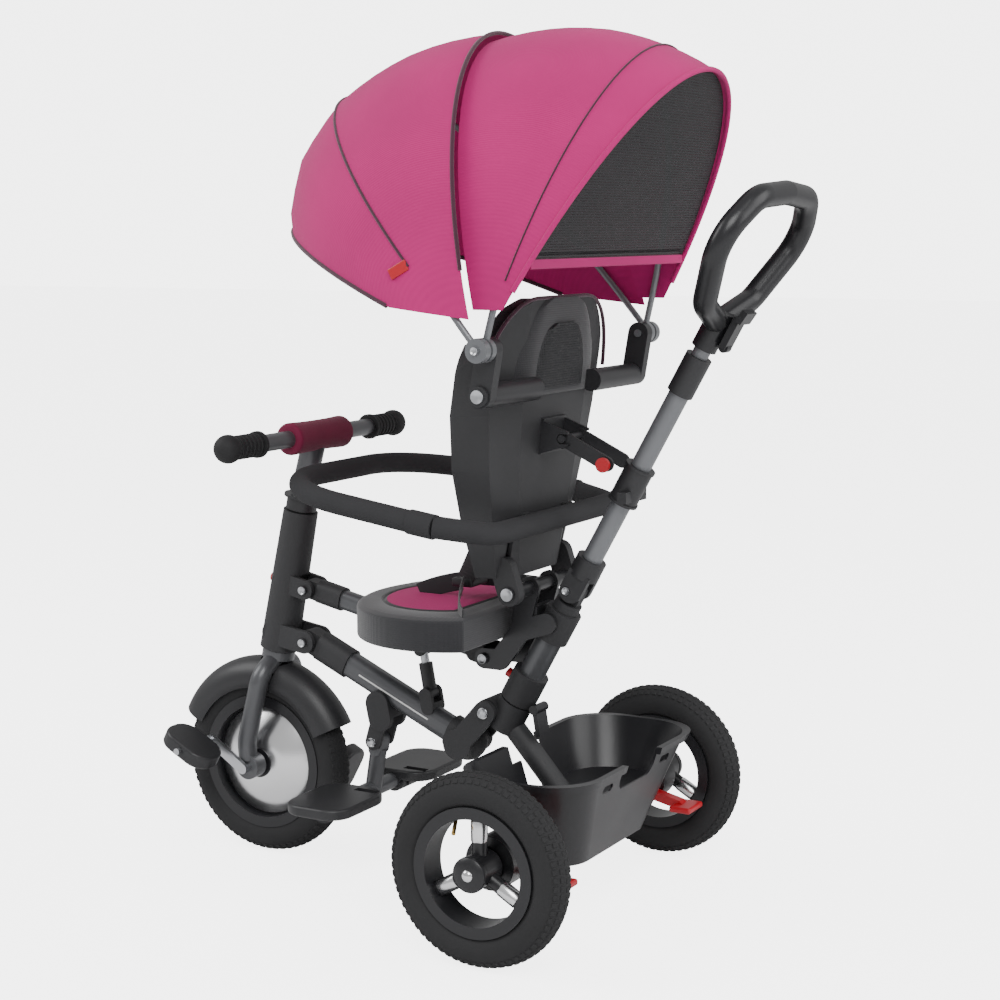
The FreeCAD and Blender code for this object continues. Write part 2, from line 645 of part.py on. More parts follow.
# ---------------------------------------------------------------- wheels and pedals
def wheel(name, x, y, radius, rim_radius, spokes, hub_half, covers=()):
    """A tyre on a rim with a hub; spokes of zero leaves a closed disc."""
    section = size("tyre_section")
    half = size("rim_half_width")
    centre = station(x, y, radius)
    tyre = Part.makeTorus(radius - section, section, centre, V(0, 1, 0))
    tyre = tyre.cut(Part.makeCylinder(rim_radius, 80, centre - V(0, 40, 0), V(0, 1, 0)))
    node(name + "_tyre", feature(tyre))
    rim = Part.makeCylinder(rim_radius, 2 * half, centre - V(0, half, 0), V(0, 1, 0))
    rim = rim.cut(Part.makeCylinder(rim_radius - 14, 2 * half + 2, centre - V(0, half + 1, 0), V(0, 1, 0)))
    hub = Part.makeCylinder(20, 2 * hub_half, centre - V(0, hub_half, 0), V(0, 1, 0))
    body = rim.fuse(hub)
    for turn in range(spokes):
        angle = math.radians(90 + 360.0 * turn / spokes)
        out = V(math.cos(angle), 0, math.sin(angle))
        body = body.fuse(Part.makeCylinder(9, rim_radius - 8, centre, out))
    if spokes == 0:
        body = body.fuse(Part.makeCylinder(rim_radius - 4, 8, centre - V(0, 4, 0), V(0, 1, 0)))
    bore = size("axle_radius") + GAP / 2
    body = body.cut(Part.makeCylinder(bore, 120, centre - V(0, 60, 0), V(0, 1, 0)))
    rim_form = feature(body.removeSplitter())
    node(name + "_rim", group(rim_form, *covers) if covers else rim_form)


def wheels():
    """Two spoked rear wheels and one disc front wheel."""
    track = size("half_track")
    for name, side in (("rear_left", 1), ("rear_right", -1)):
        wheel(name, 0, side * track, R_REAR, size("rear_rim_radius"), 3, size("rim_half_width") - 1)
    front = size("wheelbase")
    centre = station(front, 0, R_FRONT)
    covers = []
    for y in (4.4, -20.4):
        cover = Part.makeCone(size("front_rim_radius") - 15, 40, 16, centre + V(0, 4.4, 0), V(0, 1, 0))
        cover = cover.cut(Part.makeCone(size("front_rim_radius") - 18, 37, 16, centre + V(0, 4.4, 0), V(0, 1, 0)))
        cover = cover.cut(Part.makeCylinder(20.5, 60, centre, V(0, 1, 0)))
        if y < 0:
            cover = cover.mirror(V(0, 0, 0), V(0, 1, 0))
        covers.append(feature(cover))
    wheel("front", front, 0, R_FRONT, size("front_rim_radius"), 0, 26, covers)


def pedals():
    """The crank set and two pedals on their spindles."""
    centre = station(size("wheelbase"), 0, R_FRONT)
    reach = size("crank_length")
    angle = math.radians(33)
    crank_y = size("fork_half_gap") + 24
    axle = Part.makeCylinder(size("axle_radius"), 2 * crank_y, centre - V(0, crank_y, 0), V(0, 1, 0))
    parts = axle
    for name, side in (("pedal_left", 1), ("pedal_right", -1)):
        tip = V(math.cos(angle), 0, math.sin(angle)) * reach * side
        arm = slot_plate([(0, 0), (tip.x, tip.z)], 7, 0, 6)
        arm.translate(centre - station(0, 0, 0) + V(0, crank_y - 6 if side > 0 else -crank_y, 0))
        spindle_start = centre + tip + V(0, side * (crank_y - 6), 0)
        spindle = Part.makeCylinder(4.5, 78, spindle_start, V(0, side, 0))
        parts = parts.fuse(arm).fuse(spindle)
        pedal_middle = spindle_start + V(0, side * 44, 0)
        length = size("pedal_length")
        width = size("pedal_width")
        height = size("pedal_height")
        body = Part.makeBox(length, width, height, pedal_middle - V(length / 2, width / 2, height / 2))
        body = body.makeFillet(24, [e for e in body.Edges if abs(e.BoundBox.ZLength - height) < 1e-6])
        body = body.makeFillet(4, [e for e in body.Edges if e.BoundBox.ZLength < 1e-6])
        tilt = -28 if side > 0 else 62
        body.rotate(pedal_middle, V(0, 1, 0), tilt)
        hole = Part.makeCylinder(4.5 + GAP / 2, 100, pedal_middle - V(0, 50, 0), V(0, 1, 0))
        node(name, feature(body.cut(hole)))
    node("crank_set", feature(parts.removeSplitter()))


def brakes():
    """One foot pedal on each brake drum."""
    for name, side in (("brake_pedal_left", 1), ("brake_pedal_right", -1)):
        y = side * (size("half_track") - size("rim_half_width") - size("drum_length") - 13)
        eye = Part.makeCylinder(19, 14, station(0, y - 7, R_REAR), V(0, 1, 0))
        lever = slot_plate([(-4, R_REAR - 12), (-58, R_REAR - 24)], 6, y - 7, 14)
        tread = Part.makeBox(30, 44, 8, station(-82, y - 22, R_REAR - 31))
        tread = tread.makeFillet(3, tread.Edges)
        pedal = eye.fuse(lever).fuse(tread)
        pedal = pedal.cut(Part.makeCylinder(size("axle_beam_radius") + GAP / 2, 60, station(0, y - 30, R_REAR), V(0, 1, 0)))
        node(name, feature(pedal))


# ---------------------------------------------------------------- footrest and strut
def footrest():
    """The folding T tube and its two footplates."""
    pivot = (292.0, 174.0)
    cross = (303.0, 106.0)
    radius = size("rest_tube_radius")
    tongue = slot_plate([pivot, (294.0, 162.0)], 9, -11.5, 23)
    down = V(cross[0] - pivot[0], 0, cross[1] - pivot[1])
    drop = Part.makeCylinder(radius, down.Length - 12, station(*[pivot[0], 0, pivot[1]]) + down * (12 / down.Length), down)
    bar = Part.makeCylinder(radius, 250, station(cross[0], -125, cross[1]), V(0, 1, 0))
    tee = tongue.fuse(drop).fuse(bar)
    tee = tee.cut(Part.makeCylinder(size("pivot_radius"), 60, station(pivot[0], -30, pivot[1]), V(0, 1, 0)))
    node("footrest_tube", feature(tee.removeSplitter()))
    length = size("footplate_length")
    width = size("footplate_width")
    thick = size("footplate_thickness")
    for name, side in (("footplate_left", 1), ("footplate_right", -1)):
        middle = side * (42 + width / 2)
        board = Part.makeBox(length, width, thick, station(cross[0] - 54, middle - width / 2, cross[1] + 2))
        board = board.makeFillet(30, [e for e in board.Edges if abs(e.BoundBox.ZLength - thick) < 1e-6])
        board = board.makeFillet(4, [e for e in board.Edges if e.BoundBox.ZLength < 1e-6])
        barrel = Part.makeCylinder(radius + 5, 70, station(cross[0], middle - 35 - side * 18, cross[1]), V(0, 1, 0))
        board = board.fuse(barrel)
        board = board.cut(Part.makeBox(34, 12, 60, station(cross[0] - 46, side * 60 - 6, cross[1] - 20)))
        board = board.cut(Part.makeCylinder(radius + GAP / 2, 300, station(cross[0], -150, cross[1]), V(0, 1, 0)))
        node(name, feature(board))


def strut():
    """The telescoping strut between the main tube and the seat."""
    foot = station(STRUT_FOOT[0], 0, STRUT_FOOT[1])
    top = station(STRUT_TOP[0], 0, STRUT_TOP[1])
    up = (top - foot).normalize()
    reach = math.hypot(STRUT_TOP[0] - STRUT_FOOT[0], STRUT_TOP[1] - STRUT_FOOT[1])
    sleeve = Part.makeCylinder(9, 34, foot + up * 6, up)
    sleeve = sleeve.common(Part.makeBox(200, 18, 400, station(100, -9, 100)))
    sleeve = sleeve.fuse(Part.makeCylinder(8, 18, foot - V(0, 9, 0), V(0, 1, 0)))
    sleeve = sleeve.cut(Part.makeCylinder(5.5 + GAP / 2, 60, foot + up * 11, up))
    sleeve = sleeve.cut(Part.makeCylinder(size("pivot_radius"), 40, foot - V(0, 20, 0), V(0, 1, 0)))
    node("strut_sleeve", feature(sleeve))
    rod = Part.makeCylinder(5.5, reach - 18, foot + up * 13, up)
    rod = rod.fuse(Part.makeCylinder(7, 12, top - V(0, 6, 0), V(0, 1, 0)))
    node("strut_rod", feature(rod.cut(Part.makeCylinder(4, 40, top - V(0, 20, 0), V(0, 1, 0)))))


# ---------------------------------------------------------------- seat
def seat_outline(inset, z):
    """The seat's plan: square at the back and round at the front."""
    half = size("seat_half_width") - inset
    back = HINGE[0] + 42 + inset
    front = back + size("seat_depth") - 2 * inset
    shoulder = front - half * 0.86
    a = station(back, half * 0.8, z)
    b = station(shoulder, half, z)
    tip = station(front, 0, z)
    c = station(shoulder, -half, z)
    d = station(back, -half * 0.8, z)
    arcs = [
        Part.LineSegment(a, b).toShape(),
        Part.Arc(b, tip, c).toShape(),
        Part.LineSegment(c, d).toShape(),
        Part.LineSegment(d, a).toShape(),
    ]
    return Part.Wire(arcs)


def seat():
    """Seat pan, its soft cushion, the back shell, the back pad and the guard ring."""
    bottom = 334.0
    thick = 14.0
    groove = slot_tube(
        along_line(UPPER, UPPER_REAR, 20),
        along_line(UPPER_REAR, UPPER, 16),
        size("upper_tube_height"),
        size("upper_tube_width"),
        0,
    )
    pan = Part.Face(seat_outline(8, bottom)).extrude(V(0, 0, thick)).cut(groove)
    node("seat_pan", feature(pan))
    cushion = Part.Face(seat_outline(0, bottom + thick)).extrude(V(0, 0, size("cushion_height")))
    node("seat_cushion", feature(cushion.cut(groove)))


def back_section(z, inset):
    """One level of the seat back: a shallow U open to the front."""
    low = HINGE[1] + 18
    share = (z - low) / size("back_height")
    half = size("back_half_width") * (0.62 + 0.46 * math.sin(math.pi * min(share, 0.92) * 0.62)) - inset
    lean = math.tan(math.radians(6))
    back = HINGE[0] + 4 - (z - HINGE[1]) * lean
    depth = 40 + 22 * math.sin(math.pi * share)
    return half, back, depth


def back_slab(inset_back, inset_side, low, high, deep):
    """A lofted slab that follows the seat back's levels."""
    wires = []
    levels = 6
    for level in range(levels):
        z = low + (high - low) * level / (levels - 1)
        half, back, depth = back_section(z, inset_side)
        back += inset_back
        front = back + (deep if deep > 0 else depth)
        corner = 0.55
        points = [
            station(front, half, z),
            station(back + 14, half * 0.93, z),
            station(back, half * corner, z),
            station(back, -half * corner, z),
            station(back + 14, -half * 0.93, z),
            station(front, -half, z),
        ]
        wires.append(Part.makePolygon(points + points[:1]))
    return Part.makeLoft(wires, True, True)


def round_top(shape, top):
    """Round the two upper corners of the seat back."""
    radius = size("back_corner_radius")
    half = size("back_half_width") * 1.07
    for side in (1, -1):
        middle = side * (half - radius)
        edge = min(middle, middle + side * (radius + 20))
        block_out = Part.makeBox(300, radius + 20, radius + 20, station(-150, edge, top - radius))
        keep = Part.makeCylinder(radius, 320, station(-160, middle, top - radius), V(1, 0, 0))
        shape = shape.cut(block_out.cut(keep))
    return shape


def seat_back():
    """The reclining half of the seat."""
    low = HINGE[1] + 18
    high = low + size("back_height") - 16
    wall = size("back_wall")
    shell = back_slab(0, 0, low, high, 0).cut(back_slab(wall, wall, low - 5, high + 5, 120))
    shell = round_top(shell, high)
    for y in (66, -80):
        ear = slot_plate([HINGE, (HINGE[0] + 10, low + 12)], 15, y, 14)
        shell = shell.fuse(ear)
    shell = shell.cut(Part.makeCylinder(9 + GAP / 2, 200, station(HINGE[0], -100, HINGE[1]), V(0, 1, 0)))
    slots = []
    for y in (66, -74):
        slots.append(Part.makeBox(60, 8, 30, station(HINGE[0] - 30, y, low + 26)))
    for slot in slots:
        shell = shell.cut(slot)
    shell = max(shell.Solids, key=lambda s: s.Volume)
    node("seat_shell", feature(shell))
    pad = round_top(back_slab(wall + 0.4, wall + 0.4, low + 6, high - 2, 22), high - 2).cut(shell)
    node("back_pad", feature(max(pad.Solids, key=lambda solid: solid.Volume)))


def ring_path():
    """Corner points of the guard ring's front, from the right joint to the latch."""
    half = size("ring_half_width")
    z = size("ring_height")
    rise = size("ring_rise")
    rear = 36.0
    front = 344.0

    def height(x):
        return z + rise * (x - rear) / (front - rear)

    return half, rear, front, height


def guard_ring():
    """The fixed rear piece and the gate that swings open."""
    half, rear, front, height = ring_path()
    radius = size("ring_tube_radius")
    joint = 96.0
    gate_start = 128.0

    def point(x, y):
        return station(x, y, height(x))

    rear_points = [point(joint, half), point(rear - 4, half - 26), point(rear - 4, -half + 26), point(joint, -half)]
    rear_piece = bent_tube(rear_points, [34.0, 34.0], radius)
    shell = back_slab(0, 0, HINGE[1] + 18, HINGE[1] + 2 + size("back_height"), 0)
    for y in (46, -62):
        saddle = Part.makeBox(26, 16, 24, station(rear + 4, y, height(rear) - 12))
        rear_piece = rear_piece.fuse(saddle.cut(shell))
    spigot = radius - 5.5
    for side in (1, -1):
        start = point(joint - 2, side * half)
        end = point(gate_start - 0.5, side * half)
        link = Part.makeCylinder(radius + 1.5, (end - start).Length, start, end - start)
        rear_piece = rear_piece.fuse(link)
    for side in (1, -1):
        start = point(joint + 4, side * half)
        end = point(gate_start + 5, side * half)
        rear_piece = rear_piece.cut(Part.makeCylinder(spigot + 0.1, (end - start).Length, start, end - start))
    node("ring_rear", feature(rear_piece.removeSplitter()))
    gate_points = [point(gate_start, half), point(front, half - 8), point(front, -half + 8), point(gate_start, -half)]
    gate = bent_tube(gate_points, [120.0, 120.0], radius)
    for side in (1, -1):
        start = point(joint + 6, side * half)
        end = point(gate_start + 4, side * half)
        gate = gate.fuse(Part.makeCylinder(spigot, (end - start).Length, start, end - start))
    node("ring_gate", feature(gate.removeSplitter()))


# ---------------------------------------------------------------- push bar
RECLINE = (9.0, 587.0)
HUB = (-49.0, 559.0)


def push_bar():
    """Folding push tube, its sleeve, the recline clamp and the telescoping handle."""
    knuckle = 399.0
    radius = size("push_tube_radius")
    fork = Part.makeCylinder(19, push_span(knuckle + 18, knuckle + 40), on_push(knuckle + 18), PUSH_UP)
    for y in (8, -16):
        cheek = Part.makeCylinder(15, 8, on_push(knuckle, 0, y), V(0, 1, 0))
        bridge = Part.makeBox(30, 8, 26, V(-15, 0, 0))
        bridge.Placement = FreeCAD.Placement(on_push(knuckle, 0, y), FreeCAD.Rotation(V(0, 1, 0), -size("push_lean")))
        fork = fork.fuse(cheek).fuse(bridge)
    pin = Part.makeCylinder(5 - GAP / 2, 32, on_push(knuckle, 0, -16), V(0, 1, 0))
    fork = fork.fuse(pin)
    fork = fork.cut(Part.makeCylinder(radius, 60, on_push(knuckle + 20), PUSH_UP))
    fork = feature(fork.removeSplitter())
    tube = cylinder("push_tube_radius", push_span(knuckle + 20, 655), on_push(knuckle + 20), PUSH_UP)
    bore = cylinder("push_tube_radius - tube_wall", push_span(knuckle + 16, 660), on_push(knuckle + 16), PUSH_UP)
    node("push_tube", cut(tube, bore))
    sleeve = cylinder("push_tube_radius + 3.5", push_span(646, 690), on_push(646), PUSH_UP)
    sleeve = cut(
        sleeve,
        cylinder("push_tube_radius", push_span(640, 655), on_push(640), PUSH_UP),
        cylinder("handle_tube_radius + running_clearance / 2", push_span(640, 700), on_push(640), PUSH_UP),
    )
    node("push_fittings", group(fork, sleeve))

    collar_radius = radius + 5
    collar = Part.makeCylinder(collar_radius, push_span(512, 556), on_push(512), PUSH_UP)
    for z in (512, 553):
        collar = collar.fuse(Part.makeCylinder(collar_radius + 1.5, 3.4, on_push(z), PUSH_UP))
    cheeks = []
    for y in (25.5, -30.5):
        cheeks.append(plate([(HUB[0] + 9, HUB[1] + 7), (-78, 566), (-62, 516), (HUB[0] + 9, HUB[1] - 9)], y, 5))
        web_y = y - 13 if y > 0 else y + 2
        web = Part.makeBox(12, 16, 14, station(-78, web_y, 513))
        cheeks.append(web)
    for cheek in cheeks:
        collar = collar.fuse(cheek)
    collar = collar.cut(Part.makeCylinder(radius, 90, on_push(500), PUSH_UP))
    collar = collar.cut(Part.makeCylinder(4.6, 80, station(HUB[0], 0, HUB[1]), V(0, 1, 0)))
    node("recline_clamp", feature(max(collar.Solids, key=lambda s: s.Volume)))
    hub = cylinder("4.5", 9, station(HUB[0], 24.3, HUB[1]))
    node("recline_button", fuse(hub, cylinder("9", 4, station(HUB[0], 30.8, HUB[1]))))

    rails = []
    for y in (20, -24):
        rails.append(slot_plate([RECLINE, HUB], 9, y, 4))
    arm = rails[0].fuse(rails[1])
    arm = arm.fuse(Part.makeCylinder(5 - GAP / 2, 58, station(RECLINE[0], -29, RECLINE[1]), V(0, 1, 0)))
    node("recline_arm", feature(arm.removeSplitter()))
    half, back, depth = back_section(RECLINE[1], 0)
    bracket = None
    for y in (25, -29):
        cheek = plate([(back + 6, 612), (RECLINE[0] - 9, 596), (RECLINE[0] - 9, 579), (back + 6, 566)], y, 4)
        bracket = cheek if bracket is None else bracket.fuse(cheek)
    base_plate = Part.makeBox(5, 58, 44, station(back - 4.2, -29, 567))
    base_plate.rotate(station(back - 4.2, 0, RECLINE[1]), V(0, 1, 0), -6)
    bracket = bracket.fuse(base_plate)
    bracket = bracket.cut(back_slab(0, 0, HINGE[1] + 18, HINGE[1] + 2 + size("back_height"), 0))
    bracket = bracket.cut(Part.makeCylinder(6, 80, station(RECLINE[0], -40, RECLINE[1]), V(0, 1, 0)))
    bracket = bracket.cut(Part.makeBox(40, 80, 12, station(RECLINE[0] - 40, -40, RECLINE[1] - 6)))
    node("recline_bracket", feature(bracket.removeSplitter()))

    inner = cylinder("handle_tube_radius", push_span(470, 722), on_push(470), PUSH_UP)
    inner = cut(inner, cylinder("handle_tube_radius - tube_wall", push_span(466, 700), on_push(466), PUSH_UP))
    node("handle_tube", inner)

    thick = size("handle_thickness")
    half = size("handle_half_width")
    length = size("handle_length")
    neck = on_push(700)

    def loop_point(across_y, along):
        return neck + V(0, across_y, 0) + PUSH_UP * along

    left = [loop_point(0, 34), loop_point(half * 0.55, 62), loop_point(half, length * 0.82), loop_point(half * 0.62, length + 20), loop_point(0, length + 26)]
    side = bent_tube(left, [36.0, 44.0, 44.0], thick)
    loop = side.fuse(side.mirror(V(0, 0, 0), V(0, 1, 0)))
    socket = Part.makeCylinder(15.5, 50, neck, PUSH_UP)
    loop = loop.fuse(socket).fuse(Part.makeSphere(thick, left[-1]))
    loop = loop.cut(Part.makeCylinder(size("handle_tube_radius"), push_span(700, 722), neck, PUSH_UP))
    node("handle_loop", feature(loop.removeSplitter()))
    back_out = V(-math.cos(LEAN), 0, -math.sin(LEAN))
    hinge = neck + PUSH_UP * 14 + back_out * 23
    lever = Part.makeCylinder(6, 12, hinge - V(0, 6, 0), V(0, 1, 0))
    finger = Part.makeBox(8, 22, 40, V(-4, -11, 0))
    finger.Placement = FreeCAD.Placement(hinge, FreeCAD.Rotation(V(0, 0, 1), PUSH_UP))
    tip = Part.makeBox(8, 30, 16, V(-4, -15, 36))
    tip.Placement = FreeCAD.Placement(hinge, FreeCAD.Rotation(V(0, 0, 1), PUSH_UP + back_out * 0.12))
    node("latch_lever", feature(lever.fuse(finger).fuse(tip)))


def small_levers():
    """The column's quick lever and the fold release button."""
    pivot = on_push(258, -30, 0)
    lever = Part.makeCylinder(6, 30, pivot - V(0, 15, 0), V(0, 1, 0))
    back = V(-math.cos(LEAN), 0, -math.sin(LEAN))
    arm_direction = (back * 0.8 - PUSH_UP).normalize()
    arm = Part.makeBox(6, 26, 34, V(-3, -13, 0))
    arm.Placement = FreeCAD.Placement(pivot, FreeCAD.Rotation(V(0, 0, 1), arm_direction))
    node("quick_lever", feature(lever.fuse(arm)))
    forward = V(math.cos(LEAN), 0, math.sin(LEAN))
    node("fold_button", cylinder("6", 8, on_push(272, 21), forward))


# ---------------------------------------------------------------- canopy
LOW_KNUCKLE = (21.0, 651.0)
TOP_KNUCKLE = (12.0, 704.0)


def bow_point(angle, radius, half, turn, lift=0.0):
    """A point of a canopy arch: turn 0 is the left pivot and 180 the right."""
    lean = math.radians(angle)
    sweep = math.radians(turn)
    reach = radius * math.sin(sweep) ** 0.86 + lift
    y = half * math.copysign(abs(math.cos(sweep)) ** 1.1, math.cos(sweep))
    return station(TOP_KNUCKLE[0] + reach * math.sin(lean), y, TOP_KNUCKLE[1] + reach * math.cos(lean))


def arch_wire(angle, radius, half, wall):
    """A closed strip: an outer arch and the same arch a wall further in."""
    turns = [14 + 152.0 * step / 14 for step in range(15)]
    outer = [bow_point(angle, radius, half, t) for t in turns]
    inner = [bow_point(angle, radius - wall, half - wall, t) for t in reversed(turns)]
    return Part.makePolygon(outer + inner + outer[:1])


def canopy():
    """Links, knuckles, bows and the two fabric hoods."""
    links = []
    bosses = []
    rear_hubs = []
    front_hubs = []
    pin_radius = 5 - GAP / 2
    out = V(0, 1, 0)
    for side in (1, -1):
        across_left = V(0, side, 0)
        y = side * 198
        link = slot_plate([LOW_KNUCKLE, TOP_KNUCKLE], 14, y - 7, 14)
        link = link.cut(Part.makeCylinder(5, 60, station(LOW_KNUCKLE[0], y - 30, LOW_KNUCKLE[1]), out))
        link = link.cut(Part.makeCylinder(5, 60, station(TOP_KNUCKLE[0], y - 30, TOP_KNUCKLE[1]), out))
        links.append(feature(link))
        start = station(LOW_KNUCKLE[0], side * 74, LOW_KNUCKLE[1])
        boss = Part.makeCylinder(14, 116.7, start, across_left)
        pin = Part.makeCylinder(pin_radius, 133, start, across_left)
        cap = Part.makeCylinder(12, 4, start + across_left * 131.3, across_left)
        bosses.append(boss.fuse(pin).fuse(cap))
        hub_start = station(TOP_KNUCKLE[0], side * 205.3, TOP_KNUCKLE[1])
        hub = Part.makeCylinder(14, 8.7, hub_start, across_left)
        pin = Part.makeCylinder(pin_radius, 42, hub_start - across_left * 16, across_left)
        rear_hubs.append(hub.fuse(pin))
        front_start = station(TOP_KNUCKLE[0], side * 218.3, TOP_KNUCKLE[1])
        front_hubs.append(Part.makeCylinder(14, 10.7, front_start, across_left))
    node("canopy_links", group(*links))
    shell = back_slab(0, 0, HINGE[1] + 18, HINGE[1] + 2 + size("back_height"), 0)
    node("canopy_bosses", group(*[feature(boss.cut(shell)) for boss in bosses]))
    bow = size("bow_radius")
    half = size("canopy_half_width")
    wall = size("canopy_wall")
    full = size("canopy_radius")
    pivot_hole = Part.makeCylinder(5, 600, station(TOP_KNUCKLE[0], -300, TOP_KNUCKLE[1]), out)
    bows = (("rear_bow", -14, full - 16, half - 7.5, rear_hubs), ("front_bow", 40, full + 34, half + 6.5, front_hubs))
    for name, angle, radius, spread, hubs in bows:
        turns = [180.0 * step / 16 for step in range(17)]
        points = [bow_point(angle, radius, spread, t) for t in turns]
        curve = Part.BSplineCurve()
        curve.interpolate(points)
        path = Part.Wire(curve.toShape())
        ring = Part.Wire(Part.makeCircle(bow, points[0], curve.tangent(curve.FirstParameter)[0]))
        body = path.makePipeShell([ring], True, True)
        for hub in hubs:
            body = body.fuse(hub)
        if name == "front_bow":
            body = body.cut(pivot_hole)
            body = max(body.Solids, key=lambda part: part.Volume)
        node(name, feature(body))
    stages = ((-30, full), (-15, full + 4), (0, full + 7), (13, full + 9))
    rear = Part.makeLoft([arch_wire(a, r, half, wall) for a, r in stages], True, True)
    node("rear_hood", feature(rear))
    visor = size("visor_radius")
    stages = ((14, full + 16), (30, full + 44), (45, visor), (56, visor + 4), (66, visor - 10))
    front = Part.makeLoft([arch_wire(a, r, half + 15, wall) for a, r in stages], True, True)
    node("front_hood", feature(front))


def main():
    """Build every sub-part, check each one and write its file."""
    rear_frame()
    basket()
    front_frame()
    head()
    steering()
    wheels()
    pedals()
    brakes()
    footrest()
    strut()
    seat()
    seat_back()
    guard_ring()
    push_bar()
    small_levers()
    canopy()
    doc.recompute()
    for item in doc.Objects:
        if "Invalid" in item.State or "Error" in item.State:
            raise RuntimeError("%s failed" % item.Label)
    os.makedirs("parts", exist_ok=True)
    labels = set()
    for item in PARTS:
        shape = item.Shape
        if shape.isNull() or not shape.isValid() or shape.Volume <= 0 or item.Label in labels:
            raise RuntimeError("%s has no sound shape" % item.Label)
        labels.add(item.Label)
        shape.exportStep("parts/%s.step" % item.Label)
        box = shape.BoundBox
        print("%-20s solids %d volume %.0f box %.0f %.0f %.0f to %.0f %.0f %.0f" % (
            item.Label, len(shape.Solids), shape.Volume,
            box.XMin, box.YMin, box.ZMin, box.XMax, box.YMax, box.ZMax))
    print("parts", len(PARTS))


main()
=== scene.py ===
"""Looks of a children's push tricycle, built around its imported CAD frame."""

import logging
import math
from collections.abc import Callable, Iterable, Sequence
from dataclasses import dataclass, field
from enum import Enum

import bpy
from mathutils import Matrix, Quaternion, Vector


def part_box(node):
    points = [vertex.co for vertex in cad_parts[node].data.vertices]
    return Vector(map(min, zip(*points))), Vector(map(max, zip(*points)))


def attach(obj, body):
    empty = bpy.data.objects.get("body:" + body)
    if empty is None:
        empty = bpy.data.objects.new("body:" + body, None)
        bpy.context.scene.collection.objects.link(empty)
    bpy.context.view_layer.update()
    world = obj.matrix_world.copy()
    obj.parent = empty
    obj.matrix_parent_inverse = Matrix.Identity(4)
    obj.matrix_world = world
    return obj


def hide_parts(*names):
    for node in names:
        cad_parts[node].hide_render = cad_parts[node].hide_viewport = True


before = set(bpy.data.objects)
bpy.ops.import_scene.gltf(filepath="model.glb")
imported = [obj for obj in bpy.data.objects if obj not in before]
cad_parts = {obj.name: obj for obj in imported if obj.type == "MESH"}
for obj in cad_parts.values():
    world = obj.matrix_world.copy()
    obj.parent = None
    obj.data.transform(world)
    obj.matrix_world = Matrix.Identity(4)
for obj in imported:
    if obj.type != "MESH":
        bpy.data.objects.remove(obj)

LOG = logging.getLogger("tricycle")
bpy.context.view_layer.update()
AXLE_X = sum(corner.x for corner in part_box("axle_beam")) / 2
# The seat back in millimetres: its foot, its rise, its half-width and its corner radius.
BACK_FOOT, BACK_RISE, BACK_HALF, BACK_CORNER = 419, 352, 140, 92.0
Point = tuple[float, float, float]
Value = "Socket | float | Sequence[float]"


def at(x: float, y: float, z: float) -> Vector:
    """Turn millimetres measured from the rear axle into the frame's metres.

    Args:
        x: Forward of the rear axle.
        y: Left of the middle.
        z: Above the floor.

    Returns:
        The point in the frame.
    """
    return Vector((AXLE_X + x / 1000, y / 1000, z / 1000))


# ------------------------------------------------------------------ materials


class Socket:
    """A shader socket that arithmetic works on."""

    def __init__(self, graph: "Graph", socket: bpy.types.NodeSocket) -> None:
        """Keep the graph and the socket.

        Args:
            graph: The graph the socket is in.
            socket: The output it stands for.
        """
        self.graph = graph
        self.socket = socket

    def _math(self, operation: str, first: Value, second: Value) -> "Socket":
        """Add one maths node.

        Args:
            operation: The node's operation.
            first: The first operand.
            second: The second operand.

        Returns:
            The result.
        """
        return self.graph.node("ShaderNodeMath", {0: first, 1: second}, operation=operation)

    def __add__(self, other: Value) -> "Socket":
        """Add."""
        return self._math("ADD", self, other)

    def __radd__(self, other: Value) -> "Socket":
        """Add, reflected."""
        return self._math("ADD", other, self)

    def __sub__(self, other: Value) -> "Socket":
        """Subtract."""
        return self._math("SUBTRACT", self, other)

    def __rsub__(self, other: Value) -> "Socket":
        """Subtract, reflected."""
        return self._math("SUBTRACT", other, self)

    def __mul__(self, other: Value) -> "Socket":
        """Multiply."""
        return self._math("MULTIPLY", self, other)

    def __rmul__(self, other: Value) -> "Socket":
        """Multiply, reflected."""
        return self._math("MULTIPLY", other, self)

    def __truediv__(self, other: Value) -> "Socket":
        """Divide."""
        return self._math("DIVIDE", self, other)

    def __rtruediv__(self, other: Value) -> "Socket":
        """Divide, reflected."""
        return self._math("DIVIDE", other, self)

    def clamp(self) -> "Socket":
        """Hold the value between 0 and 1.

        Returns:
            The held value.
        """
        return self.graph.node("ShaderNodeClamp", {0: self})


